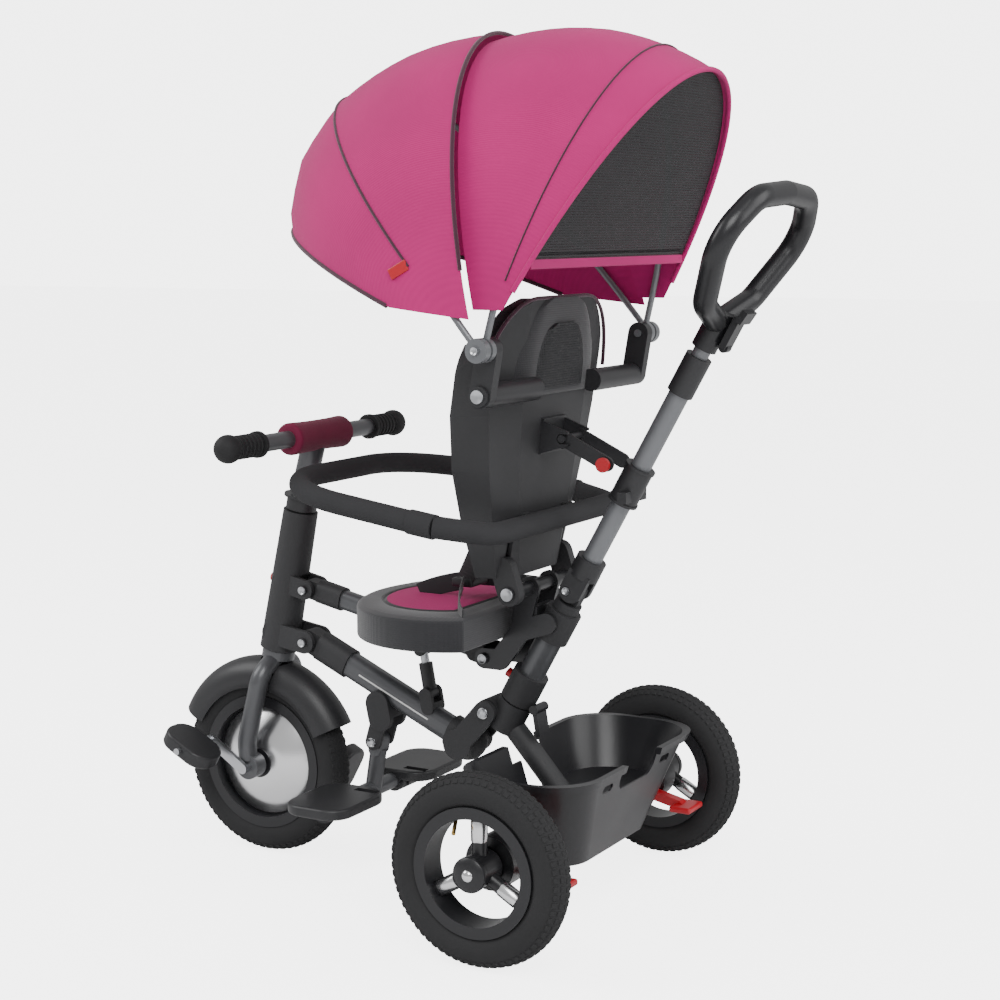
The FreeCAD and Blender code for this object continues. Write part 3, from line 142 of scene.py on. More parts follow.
class Graph:
    """One material's node tree."""

    def __init__(self, name: str) -> None:
        """Start an empty material.

        Args:
            name: The material's name.
        """
        self.material = bpy.data.materials.new(name)
        self.material.use_nodes = True
        self.tree = self.material.node_tree
        self.shader = next(n for n in self.tree.nodes if n.type == "BSDF_PRINCIPLED")

    def node(self, kind: str, inputs: dict | None = None, out: int | str = 0, **settings: object) -> Socket:
        """Add any node, set it up and wire its inputs.

        Args:
            kind: The node's type.
            inputs: Values or sockets by input name or index.
            out: The output wanted.
            **settings: The node's own settings.

        Returns:
            The chosen output.
        """
        made = self.tree.nodes.new(kind)
        for key, value in settings.items():
            setattr(made, key, value)
        for key, value in (inputs or {}).items():
            self.wire(made.inputs[key], value)
        return Socket(self, made.outputs[out])

    def wire(self, target: bpy.types.NodeSocket, value: Value) -> None:
        """Link a socket or set a plain value.

        Args:
            target: The input.
            value: What goes into it.
        """
        if isinstance(value, Socket):
            self.tree.links.new(value.socket, target)
        else:
            target.default_value = value

    def place(self) -> Socket:
        """Object coordinates.

        Returns:
            The coordinate vector.
        """
        return self.node("ShaderNodeTexCoord", out="Object")

    def noise(self, scale: float, detail: float = 3.0) -> Socket:
        """Cloudy noise.

        Args:
            scale: Its frequency.
            detail: Its octaves.

        Returns:
            The noise factor.
        """
        return self.node("ShaderNodeTexNoise", {"Vector": self.place(), "Scale": scale, "Detail": detail})

    def wave(self, direction: str, scale: float, distortion: float = 0.0) -> Socket:
        """Straight bands.

        Args:
            direction: X, Y, Z or DIAGONAL.
            scale: Their frequency.
            distortion: How far they wander.

        Returns:
            The band factor.
        """
        inputs = {"Vector": self.place(), "Scale": scale, "Distortion": distortion}
        return self.node("ShaderNodeTexWave", inputs, bands_direction=direction)

    def blend(self, low: Sequence[float], high: Sequence[float], factor: Socket) -> Socket:
        """Mix two colours.

        Args:
            low: Colour at factor 0.
            high: Colour at factor 1.
            factor: The mix.

        Returns:
            The colour.
        """
        return self.node(
            "ShaderNodeMix", {0: factor, 6: (*low, 1.0), 7: (*high, 1.0)}, out=2, data_type="RGBA"
        )

    def bump(self, height: Socket, strength: float, distance: float) -> None:
        """Send a height to the shader's normal.

        Args:
            height: The relief.
            strength: Its share.
            distance: Its depth in metres.
        """
        made = self.node("ShaderNodeBump", {"Strength": strength, "Distance": distance, "Height": height})
        self.wire(self.shader.inputs["Normal"], made)

    def set(self, **values: Value) -> None:
        """Set the shader's inputs; an underscore stands for a space.

        Args:
            **values: Values by input name.
        """
        for key, value in values.items():
            self.wire(self.shader.inputs[key.replace("_", " ")], value)


def shade(colour: Sequence[float], share: float) -> tuple[float, float, float]:
    """Lighten or darken a colour.

    Args:
        colour: The colour.
        share: The factor.

    Returns:
        The new colour.
    """
    return tuple(min(1.0, c * share) for c in colour)


@dataclass(frozen=True)
class Finish:
    """A finish shared by the pieces that are made of one material."""

    name: str
    colour: tuple[float, float, float]
    rough: float = 0.45
    contrast: float = 0.25

    def dress(self, graph: Graph) -> None:
        """Wire the finish's own detail.

        Args:
            graph: The material to fill.
        """
        raise NotImplementedError

    def make(self) -> bpy.types.Material:
        """Build the material.

        Returns:
            The material.
        """
        graph = Graph(self.name)
        tint = graph.noise(9.0, 5.0)
        low = shade(self.colour, 1 - self.contrast)
        high = shade(self.colour, 1 + self.contrast)
        graph.set(Base_Color=graph.blend(low, high, tint))
        graph.set(Roughness=(tint * 0.16 + (self.rough - 0.08)).clamp())
        self.dress(graph)
        return graph.material


@dataclass(frozen=True)
class Plastic(Finish):
    """Moulded plastic with a spark-eroded grain."""

    grain: float = 900.0
    depth: float = 0.00025
    strength: float = 0.35

    def dress(self, graph: Graph) -> None:
        """Add the moulding grain and long soft sink marks.

        Args:
            graph: The material to fill.
        """
        relief = graph.noise(self.grain, 2.0) + graph.noise(22.0, 1.0) * 0.6
        graph.bump(relief, self.strength, self.depth)
        graph.set(Specular_IOR_Level=0.45)


@dataclass(frozen=True)
class Paint(Finish):
    """Powder coat on steel tube."""

    metallic: float = 0.35

    def dress(self, graph: Graph) -> None:
        """Add orange peel.

        Args:
            graph: The material to fill.
        """
        graph.bump(graph.noise(420.0, 2.0), 0.16, 0.0003)
        graph.set(Metallic=self.metallic, Coat_Weight=0.25, Coat_Roughness=0.25)


@dataclass(frozen=True)
class Metal(Finish):
    """Bare or plated metal."""

    lines: float = 260.0

    def dress(self, graph: Graph) -> None:
        """Add fine turning lines.

        Args:
            graph: The material to fill.
        """
        graph.bump(graph.wave("Z", self.lines, 2.0), 0.08, 0.0001)
        graph.set(Metallic=1.0)


@dataclass(frozen=True)
class Cloth(Finish):
    """Plain woven polyester."""

    weave: float = 150.0
    wrinkle: float = 14.0
    depth: float = 0.0006
    sheen: float = 0.35

    def dress(self, graph: Graph) -> None:
        """Add threads, soft creases and painted shade: colour darker in the hollows and lighter on the
        crests of threads and folds.

        Args:
            graph: The material to fill.
        """
        threads = graph.wave("Y", self.weave, 0.4) + graph.wave("Z", self.weave, 0.4)
        folds = graph.noise(self.wrinkle, 3.0)
        graph.bump(threads * 0.3 + folds * 2.2, 0.5, self.depth)
        # Painted shade and highlight: the base colour follows the bump relief, darker in thread and fold
        # hollows, lighter on their crests.
        relief_shade = (threads * 0.10 + folds * 0.75).clamp()
        low = shade(self.colour, 1 - self.contrast)
        high = shade(self.colour, 1 + self.contrast)
        graph.set(Base_Color=graph.blend(low, high, relief_shade))
        graph.set(Sheen_Weight=self.sheen, Sheen_Roughness=0.5, Specular_IOR_Level=0.25)


@dataclass(frozen=True)
class Mesh(Finish):
    """Open netting that lets light through."""

    pitch: float = 105.0
    cover: float = 0.46

    def dress(self, graph: Graph) -> None:
        """Cut the holes of the net.

        Args:
            graph: The material to fill.
        """
        threads = graph.wave("Y", self.pitch) * graph.wave("Z", self.pitch)
        graph.set(Alpha=(threads * -1.6 + (1.0 + self.cover)).clamp())
        graph.bump(threads, 0.4, 0.0006)


@dataclass(frozen=True)
class Backdrop(Plastic):
    """A floor that looks white without lighting the tricycle from below."""

    glow: float = 4.0

    def dress(self, graph: Graph) -> None:
        """Add the glow.

        Args:
            graph: The material to fill.
        """
        super().dress(graph)
        seen = graph.node("ShaderNodeLightPath", out="Is Camera Ray")
        graph.set(Emission_Color=graph.blend((0, 0, 0), (1, 1, 1), seen), Emission_Strength=self.glow)


@dataclass(frozen=True)
class Rubber(Finish):
    """Dull rubber with bloom."""

    def dress(self, graph: Graph) -> None:
        """Add a fine grain.

        Args:
            graph: The material to fill.
        """
        graph.bump(graph.noise(650.0, 2.0) + graph.noise(60.0, 2.0), 0.3, 0.0004)
        graph.set(Specular_IOR_Level=0.25)


class Look(Enum):
    """Every finish on the tricycle."""

    MAGENTA = Cloth("magenta polyester", (0.47, 0.011, 0.150), 0.80, 0.22, 260.0, 9.0, 0.0006, 0.08)
    LINING = Cloth("wine lining", (0.11, 0.008, 0.035), 0.8, 0.25)
    WINE = Cloth("wine polyester", (0.15, 0.008, 0.038), 0.78, 0.25, 260.0, 14.0, 0.0006, 0.08)
    BLACK_CLOTH = Cloth("black polyester", (0.022, 0.022, 0.025), 0.75, 0.35, 120.0)
    PIPING = Cloth("dark piping", (0.05, 0.008, 0.025), 0.7, 0.25, 300.0)
    WEBBING = Cloth("black webbing", (0.016, 0.016, 0.018), 0.62, 0.3, 220.0)
    NET = Mesh("black netting", (0.012, 0.012, 0.014), 0.6, 0.3)
    GLOSS = Plastic("gloss black plastic", (0.014, 0.014, 0.016), 0.33, 0.2, 260.0, 0.0002, 0.12)
    SATIN = Plastic("satin black plastic", (0.022, 0.022, 0.024), 0.42, 0.25, 700.0)
    MATTE = Plastic("textured black plastic", (0.026, 0.026, 0.028), 0.6, 0.25, 1100.0, 0.0003, 0.5)
    RED = Plastic("red plastic", (0.46, 0.012, 0.02), 0.32, 0.15, 500.0)
    WHITE = Plastic("white plastic", (0.78, 0.78, 0.77), 0.4, 0.05, 500.0)
    CHARCOAL = Paint("charcoal powder coat", (0.085, 0.087, 0.093), 0.38, 0.2)
    GREY = Paint("grey powder coat", (0.16, 0.165, 0.175), 0.36, 0.15)
    BLACK_PAINT = Paint("black paint", (0.02, 0.02, 0.022), 0.35, 0.25)
    CHROME = Metal("chrome", (0.78, 0.78, 0.79), 0.14, 0.06)
    STEEL = Metal("brushed steel", (0.55, 0.56, 0.58), 0.34, 0.12)
    SILVER = Metal("silver reflector", (0.82, 0.82, 0.83), 0.24, 0.05, 90.0)
    BRASS = Metal("brass", (0.55, 0.36, 0.12), 0.3, 0.15)
    TYRE = Rubber("tyre rubber", (0.024, 0.024, 0.025), 0.78, 0.35)
    GRIP = Rubber("grip rubber", (0.02, 0.02, 0.021), 0.66, 0.3)
    FOAM = Rubber("foam sleeve", (0.03, 0.03, 0.032), 0.85, 0.3)
    FLOOR = Backdrop("studio floor", (0.86, 0.86, 0.865), 0.7, 0.02, 30.0, 0.0001, 0.02)


class Palette:
    """Materials made once and shared."""

    made: dict[Look, bpy.types.Material] = {}

    @classmethod
    def get(cls, look: Look) -> bpy.types.Material:
        """Fetch a finish's material.

        Args:
            look: The finish.

        Returns:
            Its material.
        """
        if look not in cls.made:
            cls.made[look] = look.value.make()
        return cls.made[look]


# ------------------------------------------------------------------ modelling


class Bench:
    """Modelling steps, each one an operator run on the active object."""

    @staticmethod
    def clear() -> None:
        """Deselect everything in object mode."""
        if bpy.context.object and bpy.context.object.mode != "OBJECT":
            bpy.ops.object.mode_set(mode="OBJECT")
        bpy.ops.object.select_all(action="DESELECT")

    @staticmethod
    def begin(name: str, kind: str, **settings: object) -> bpy.types.Object:
        """Add a primitive.

        Args:
            name: The object's name.
            kind: The primitive, such as cube or cylinder.
            **settings: Its size and place.

        Returns:
            The object.
        """
        Bench.clear()
        getattr(bpy.ops.mesh, f"primitive_{kind}_add")(**settings)
        made = bpy.context.object
        made.name = name
        bpy.ops.object.transform_apply(location=True, rotation=True, scale=True)
        return made

    @staticmethod
    def edit(made: bpy.types.Object, mode: str = "VERT") -> None:
        """Enter edit mode with everything selected.

        Args:
            made: The object.
            mode: The selection mode.
        """
        Bench.clear()
        bpy.context.view_layer.objects.active = made
        made.select_set(True)
        bpy.ops.object.mode_set(mode="EDIT")
        bpy.ops.mesh.select_mode(type=mode)
        bpy.ops.mesh.select_all(action="SELECT")

    @staticmethod
    def pick(made: bpy.types.Object, kind: str, test: Callable[[Vector], bool]) -> None:
        """Select the vertices, edges or faces whose middle passes a test.

        Args:
            made: The object, in edit mode.
            kind: VERT, EDGE or FACE.
            test: The test on the middle point.
        """
        bpy.ops.mesh.select_mode(type=kind)
        bpy.ops.mesh.select_all(action="DESELECT")
        bpy.ops.object.mode_set(mode="OBJECT")
        mesh = made.data
        if kind == "VERT":
            for item in mesh.vertices:
                item.select = test(item.co)
        elif kind == "EDGE":
            for item in mesh.edges:
                ends = [mesh.vertices[i].co for i in item.vertices]
                item.select = test((ends[0] + ends[1]) / 2)
        else:
            for item in mesh.polygons:
                item.select = test(item.center)
        bpy.ops.object.mode_set(mode="EDIT")

    @staticmethod
    def turn(angle: float, axis: str, centre: Vector) -> None:
        """Rotate the selection by the right-hand rule.

        Args:
            angle: In degrees.
            axis: X, Y or Z.
            centre: The point to turn about.
        """
        bpy.ops.transform.rotate(value=-math.radians(angle), orient_axis=axis, center_override=centre)

    @staticmethod
    def modify(made: bpy.types.Object, kind: str, **settings: object) -> None:
        """Add a modifier and apply it.

        Args:
            made: The object.
            kind: The modifier's type.
            **settings: Its settings.
        """
        Bench.clear()
        bpy.context.view_layer.objects.active = made
        made.select_set(True)
        modifier = made.modifiers.new(kind.lower(), kind)
        for key, value in settings.items():
            setattr(modifier, key, value)
        bpy.ops.object.modifier_apply(modifier=modifier.name)

    @staticmethod
    def smooth(made: bpy.types.Object, angle: float = 35.0) -> None:
        """Shade smoothly up to an angle.

        Args:
            made: The object.
            angle: In degrees.
        """
        Bench.clear()
        bpy.context.view_layer.objects.active = made
        made.select_set(True)
        bpy.ops.object.shade_smooth_by_angle(angle=math.radians(angle))

    @staticmethod
    def outward(made: bpy.types.Object) -> None:
        """Point all normals outward.

        Args:
            made: The object.
        """
        Bench.edit(made)
        bpy.ops.mesh.normals_make_consistent(inside=False)
        bpy.ops.object.mode_set(mode="OBJECT")

    @staticmethod
    def strand(
        name: str, points: Iterable[Vector], radius: float, width: float = 0.0
    ) -> bpy.types.Object:
        """Run a round or flat strand through points.

        Args:
            name: The object's name.
            points: The way it goes.
            radius: Half its thickness.
            width: Half its extra width, for a strap.

        Returns:
            The mesh.
        """
        Bench.clear()
        bpy.ops.curve.primitive_nurbs_path_add()
        made = bpy.context.object
        made.name = name
        made.location = (0, 0, 0)
        curve = made.data
        curve.splines.clear()
        spline = curve.splines.new("NURBS")
        places = list(points)
        spline.points.add(len(places) - 1)
        for target, place in zip(spline.points, places):
            target.co = (*place, 1.0)
        spline.order_u = 3
        spline.use_endpoint_u = True
        curve.bevel_depth = radius
        curve.extrude = width
        curve.bevel_resolution = 2
        curve.resolution_u = 3
        curve.use_fill_caps = True
        bpy.ops.object.convert(target="MESH")
        made = bpy.context.object
        Bench.smooth(made, 50)
        return made


@dataclass
class Assembly:
    """A group of pieces of the tricycle."""

    made: list[bpy.types.Object] = field(default_factory=list)

    def finish(
        self,
        piece: bpy.types.Object,
        looks: Look | Sequence[Look],
        body: str,
        slot: str,
        replaces: Sequence[str] = (),
    ) -> bpy.types.Object:
        """Give a piece its finish and put it on its body.

        Args:
            piece: The object.
            looks: Its finish, or one for each material slot.
            body: The CAD body it rides on.
            slot: The record's material slot; not used.
            replaces: The CAD nodes it stands for.

        Returns:
            The object.
        """
        chosen = [looks] if isinstance(looks, Look) else list(looks)
        faces = [face.material_index for face in piece.data.polygons]
        piece.data.materials.clear()
        for look in chosen:
            piece.data.materials.append(Palette.get(look))
        piece.data.polygons.foreach_set("material_index", [min(i, len(chosen) - 1) for i in faces])
        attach(piece, body)
        if replaces:
            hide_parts(*replaces)
        self.made.append(piece)
        LOG.info("%s on %s", piece.name, body)
        return piece


@dataclass
class Canopy(Assembly):
    """Two fabric hoods, the rear net, bindings and seams."""

    pivot: Vector = field(default_factory=lambda: at(12, 0, 704))
    half: float = 0.217
    rear_radius: float = 0.364
    seam_radius: float = 0.371
    visor_radius: float = 0.424
    cloth: float = 0.0016
    net_floor: float = 0.098
    net_lean: float = -29.0
    net_margin: float = 0.004

    def arch(self, angle: float, radius: float, half: float, low: float = 0.0) -> list[Vector]:
        """Points along an arch.

        Args:
            angle: Its lean forward of upright, in degrees.
            radius: Its height above the pivot.
            half: Half its width.
            low: Where it starts, in degrees round from the pivot.

        Returns:
            The points.
        """
        lean = math.radians(angle)
        points = []
        for step in range(41):
            turn = math.radians(low + (180 - 2 * low) * step / 40)
            reach = radius * math.sin(turn)
            offset = Vector((reach * math.sin(lean), half * math.cos(turn), reach * math.cos(lean)))
            points.append(self.pivot + offset)
        return points

    def hood(
        self, name: str, half: float, stages: Sequence[tuple[float, float]], floor: float, slope: float
    ) -> bpy.types.Object:
        """Fan an arch round the pivot.

        Args:
            name: The object's name.
            half: Half its width.
            stages: Angle and radius at each seam.
            floor: Height above the pivot where the cloth ends.
            slope: How much higher the edge is for each metre forward.

        Returns:
            The hood.
        """
        made = Bench.begin(
            name, "circle", vertices=96, radius=1.0, location=self.pivot, rotation=(0, math.radians(90), 0)
        )
        Bench.edit(made)
        angle, radius = stages[0]
        bpy.ops.transform.resize(value=(1, half, radius), center_override=self.pivot)
        bpy.ops.mesh.bisect(plane_co=self.pivot, plane_no=(0, 0, 1), clear_inner=True)
        bpy.ops.mesh.select_all(action="SELECT")
        Bench.turn(angle, "Y", self.pivot)
        for target, wide in stages[1:]:
            steps = max(2, round(abs(target - angle) / 4))
            growth = (wide / radius) ** (1 / steps)
            for _ in range(steps):
                bpy.ops.mesh.extrude_region_move()
                Bench.turn((target - angle) / steps, "Y", self.pivot)
                bpy.ops.transform.resize(value=(growth, 1, growth), center_override=self.pivot)
            angle, radius = target, wide
        bpy.ops.mesh.select_all(action="SELECT")
        base = self.pivot + Vector((0, 0, floor))
        bpy.ops.mesh.bisect(plane_co=base, plane_no=(-slope, 0, 1), clear_inner=True)
        bpy.ops.mesh.select_all(action="SELECT")
        bpy.ops.mesh.normals_make_consistent(inside=False)
        bpy.ops.object.mode_set(mode="OBJECT")
        Bench.modify(made, "SOLIDIFY", thickness=self.cloth, offset=-1, material_offset=1)
        Bench.smooth(made, 60)
        return made

    def net(self) -> bpy.types.Object:
        """The see-through panel under the rear arch.

        Returns:
            The panel.
        """
        made = Bench.begin(
            "rear_net", "circle", vertices=72, radius=1.0, fill_type="NGON",
            location=self.pivot, rotation=(0, math.radians(90), 0),
        )
        Bench.edit(made)
        size = (1, self.half - self.net_margin, self.rear_radius - self.net_margin)
        bpy.ops.transform.resize(value=size, center_override=self.pivot)
        Bench.turn(self.net_lean, "Y", self.pivot)
        base = self.pivot + Vector((0, 0, self.net_floor))
        bpy.ops.mesh.bisect(plane_co=base, plane_no=(0, 0, 1), clear_inner=True)
        bpy.ops.mesh.select_all(action="SELECT")
        bpy.ops.mesh.inset(thickness=0.012)
        bpy.ops.object.mode_set(mode="OBJECT")
        Bench.modify(made, "SOLIDIFY", thickness=0.0008, offset=0)
        return made

    def build(self) -> None:
        """Model the canopy."""
        stages = ((-30, self.rear_radius), (-8, 0.370), (14, self.seam_radius))
        rear = self.hood("hood_rear", self.half, stages, 0.045, 0.0)
        self.finish(rear, (Look.MAGENTA, Look.LINING), "canopy_back", "magenta_fabric", ["rear_hood"])
        stages = ((14, 0.379), (30, 0.404), (45, self.visor_radius), (57, 0.426), (66, 0.410), (69, 0.398))
        front = self.hood("hood_front", self.half + 0.014, stages, 0.034, 0.1)
        self.finish(front, (Look.MAGENTA, Look.LINING), "canopy_front", "magenta_fabric", ["front_hood"])
        self.finish(self.net(), Look.NET, "canopy_back", "black_fabric")
        seams = (
            ("piping_rear", -30, self.rear_radius, self.half, "canopy_back", 12.0, 0.0032, Look.MAGENTA),
            ("stitch_rear", -20, 0.3675, self.half, "canopy_back", 13.0, 0.0012, Look.PIPING),
            ("piping_seam", 14, 0.380, self.half + 0.014, "canopy_front", 14.0, 0.0026, Look.PIPING),
            ("ridge_front", 45, 0.4245, self.half + 0.0145, "canopy_front", 18.0, 0.0018, Look.PIPING),
            ("visor_hem", 69, 0.398, self.half + 0.0135, "canopy_front", 19.5, 0.0030, Look.PIPING),
        )
        for name, angle, radius, half, body, low, thick, look in seams:
            points = self.arch(angle, radius, half, low)
            self.finish(Bench.strand(name, points, thick), look, body, "magenta_fabric")
        lean = math.radians(self.net_lean)
        base = self.pivot + Vector((math.tan(lean) * self.net_floor, 0, self.net_floor))
        reach = self.net_floor / math.cos(lean)
        half = (self.half - self.net_margin) * math.sqrt(1 - (reach / self.rear_radius) ** 2)
        edge = [base + Vector((0, y, 0)) for y in (-half, -half / 2, 0, half / 2, half)]
        binding = Bench.strand("net_binding", edge, 0.002, 0.006)
        self.finish(binding, Look.MAGENTA, "canopy_back", "magenta_fabric")
        tag = Bench.begin(
            "pull_tag", "cube", size=1, location=at(118, 220, 793),
            rotation=(0, math.radians(28), 0), scale=(0.026, 0.003, 0.013),
        )
        Bench.modify(tag, "BEVEL", width=0.001, segments=2)
        self.finish(tag, Look.RED, "canopy_front", "magenta_fabric")


@dataclass
class Seat(Assembly):
    """Cushion, back pad, back cover, pocket and harness."""

    centre_x: float = 161.0
    half_depth: float = 0.131
    half_width: float = 0.151
    skirt: float = 0.334
    top: float = 0.372
    webbing: float = 0.0008
    hinge_height: float = 401.0
    shell_back: float = 58.0
    shell_lean: float = 6.0

    def cushion(self) -> bpy.types.Object:
        """The round-fronted cushion with its inset centre panel.

        Returns:
            The cushion.
        """
        middle = at(self.centre_x, 0, 0) + Vector((0, 0, (self.skirt + self.top) / 2))
        made = Bench.begin("cushion", "cylinder", vertices=96, radius=1.0, depth=1.0, location=middle)
        Bench.edit(made)
        size = (self.half_depth, self.half_width, self.top - self.skirt)
        bpy.ops.transform.resize(value=size, center_override=middle)
        bpy.ops.mesh.bisect(plane_co=at(90, 0, 0), plane_no=(1, 0, 0), use_fill=True, clear_inner=True)
        Bench.pick(made, "FACE", lambda p: p.z > self.top - 0.0005)
        bpy.ops.object.material_slot_add()
        bpy.ops.object.material_slot_add()
        for share, lift in ((0.93, 0.004), (0.76, 0.0), (0.96, -0.004), (0.96, 0.004)):
            bpy.ops.mesh.extrude_region_move()
            bpy.ops.transform.resize(value=(share, share, 1), center_override=at(198, 0, self.top * 1000))
            bpy.ops.transform.translate(value=(0, 0, lift))
        made.active_material_index = 1
        bpy.ops.object.material_slot_assign()
        bpy.ops.object.mode_set(mode="OBJECT")
        Bench.modify(made, "BEVEL", width=0.004, segments=3, limit_method="ANGLE")
        Bench.smooth(made, 50)
        return made

    def slab(
        self, name: str, low: float, high: float, lift: float, thick: float, spread: float
    ) -> bpy.types.Object:
        """A panel that follows the shell: tapered, leant and dished.

        Args:
            name: The object's name.
            low: Bottom height in millimetres.
            high: Top height in millimetres.
            lift: How far in front of the shell's back, in millimetres.
            thick: Thickness in millimetres.
            spread: Extra half-width in millimetres.

        Returns:
            The panel.
        """
        made = Bench.begin(
            name, "grid", x_subdivisions=14, y_subdivisions=16, size=1.0, rotation=(0, math.radians(90), 0)
        )
        Bench.edit(made)
        bpy.ops.transform.resize(value=(1, 1, (high - low) / 1000), center_override=(0, 0, 0))
        bpy.ops.transform.translate(value=(0, 0, (high + low) / 2000))
        bpy.ops.object.mode_set(mode="OBJECT")
        levels = sorted({round(v.co.z, 4) for v in made.data.vertices})
        bpy.ops.object.mode_set(mode="EDIT")
        for level in levels:
            half = self.level_half(level, spread, high)
            back = self.back_line(level * 1000)
            Bench.pick(made, "VERT", lambda p, z=level: abs(p.z - z) < 0.0004)
            bpy.ops.transform.resize(value=(1, 2 * half, 1), center_override=(0, 0, level))
            bpy.ops.transform.translate(value=at(back + lift, 0, 0))
        for share, push in ((0.56, 0.006), (0.72, 0.010), (0.9, 0.014)):
            Bench.pick(made, "VERT", lambda p, s=share: abs(p.y) > s * self.level_half(p.z, spread, high))
            bpy.ops.transform.translate(value=(push, 0, 0))
        bpy.ops.object.mode_set(mode="OBJECT")
        Bench.modify(made, "SOLIDIFY", thickness=thick / 1000, offset=1)
        Bench.modify(
            made, "BEVEL", width=0.004, segments=3, limit_method="ANGLE", angle_limit=math.radians(50)
        )
        Bench.modify(made, "SUBSURF", levels=1, render_levels=1)
        Bench.outward(made)
        Bench.smooth(made, 60)
        return made

    def back_line(self, height: float) -> float:
        """How far forward of the rear axle the shell's back is.

        Args:
            height: The height in millimetres.

        Returns:
            The distance in millimetres.
        """
        return self.shell_back - (height - self.hinge_height) * math.tan(math.radians(self.shell_lean))

    @staticmethod
    def level_half(z: float, spread: float, top: float) -> float:
        """Half the back's width at a height, with its upper corners rounded.

        Args:
            z: The height in metres.
            spread: Extra half-width in millimetres.
            top: The panel's top in millimetres.

        Returns:
            The half-width in metres.
        """
        share = min((z * 1000 - BACK_FOOT) / BACK_RISE, 0.92)
        half = BACK_HALF * (0.62 + 0.46 * math.sin(math.pi * share * 0.62)) + spread
        corner = min(BACK_CORNER, half * 0.62)
        above = z * 1000 - (top - corner)
        if above > 0:
            half -= corner - math.sqrt(max(0.0, corner**2 - min(above, corner) ** 2))
        return half / 1000

    def strap(self, name: str, path: Sequence[Vector], width: float, body: str) -> None:
        """Lay one flat strap of the harness.

        Args:
            name: The object's name.
            path: The way it goes.
            width: Half its width in metres.
            body: The CAD body it rides on.
        """
        webbing = Bench.strand(name, path, self.webbing, width)
        self.finish(webbing, Look.WEBBING, body, "black_fabric")

    def harness(self) -> None:
        """Shoulder, waist and crotch straps with their buckle."""
        for side in (1, -1):
            y = 52 * side
            path = [at(64, y, 640), at(80, y, 560), at(104, y * 0.8, 470), at(150, y * 0.35, 402)]
            self.strap(f"shoulder_strap_{side}", path, 0.011, "seat_rest")
            path = [at(96, 118 * side, 376), at(120, 96 * side, 384), at(150, 24 * side, 398)]
            self.strap(f"waist_strap_{side}", path, 0.009, "upper_frame")
        path = [at(228, 0, 376), at(205, 0, 388), at(166, 0, 396)]
        self.strap("crotch_strap", path, 0.011, "upper_frame")
        buckle = Bench.begin("buckle", "cube", size=1, location=at(154, 0, 398), scale=(0.03, 0.042, 0.012))
        Bench.edit(buckle, "FACE")
        Bench.pick(buckle, "FACE", lambda p: p.z > 0.4035)
        bpy.ops.mesh.inset(thickness=0.006)
        bpy.ops.transform.translate(value=(0, 0, -0.002))
        bpy.ops.object.mode_set(mode="OBJECT")
        Bench.modify(buckle, "BEVEL", width=0.003, segments=3)
        Bench.smooth(buckle)
        self.finish(buckle, Look.SATIN, "upper_frame", "black_fabric")

    def build(self) -> None:
        """Model the seat."""
        cushion = self.cushion()
        cloths = (Look.BLACK_CLOTH, Look.MAGENTA)
        self.finish(cushion, cloths, "upper_frame", "black_fabric", ["seat_cushion"])
        pad = self.slab("back_padding", 428, 748, 6, 18, -6)
        self.finish(pad, Look.BLACK_CLOTH, "seat_rest", "black_fabric", ["back_pad"])
        cover = self.slab("back_cover", 640, 757, -4, 3.4, 4)
        self.finish(cover, Look.BLACK_CLOTH, "seat_rest", "black_fabric")
        pocket = self.slab("back_pocket", 648, 726, -7.5, 1.6, -42)
        self.finish(pocket, Look.NET, "seat_rest", "black_fabric")
        panel = self.slab("back_panel", 448, 700, 24.5, 3, -72)
        self.finish(panel, Look.MAGENTA, "seat_rest", "magenta_fabric")
        rim = []
        wide, high = 153, 757
        for step in range(41):
            turn = math.pi * step / 40
            y = wide * math.cos(turn)
            drop = max(0.0, abs(y) - (wide - BACK_CORNER))
            z = high - (BACK_CORNER - math.sqrt(max(0.0, BACK_CORNER**2 - drop**2)))
            rim.append(at(self.back_line(z) + 14 * abs(y / wide) ** 3, y, z))
        self.finish(Bench.strand("cover_piping", rim, 0.0024), Look.PIPING, "seat_rest", "black_fabric")
        self.harness()


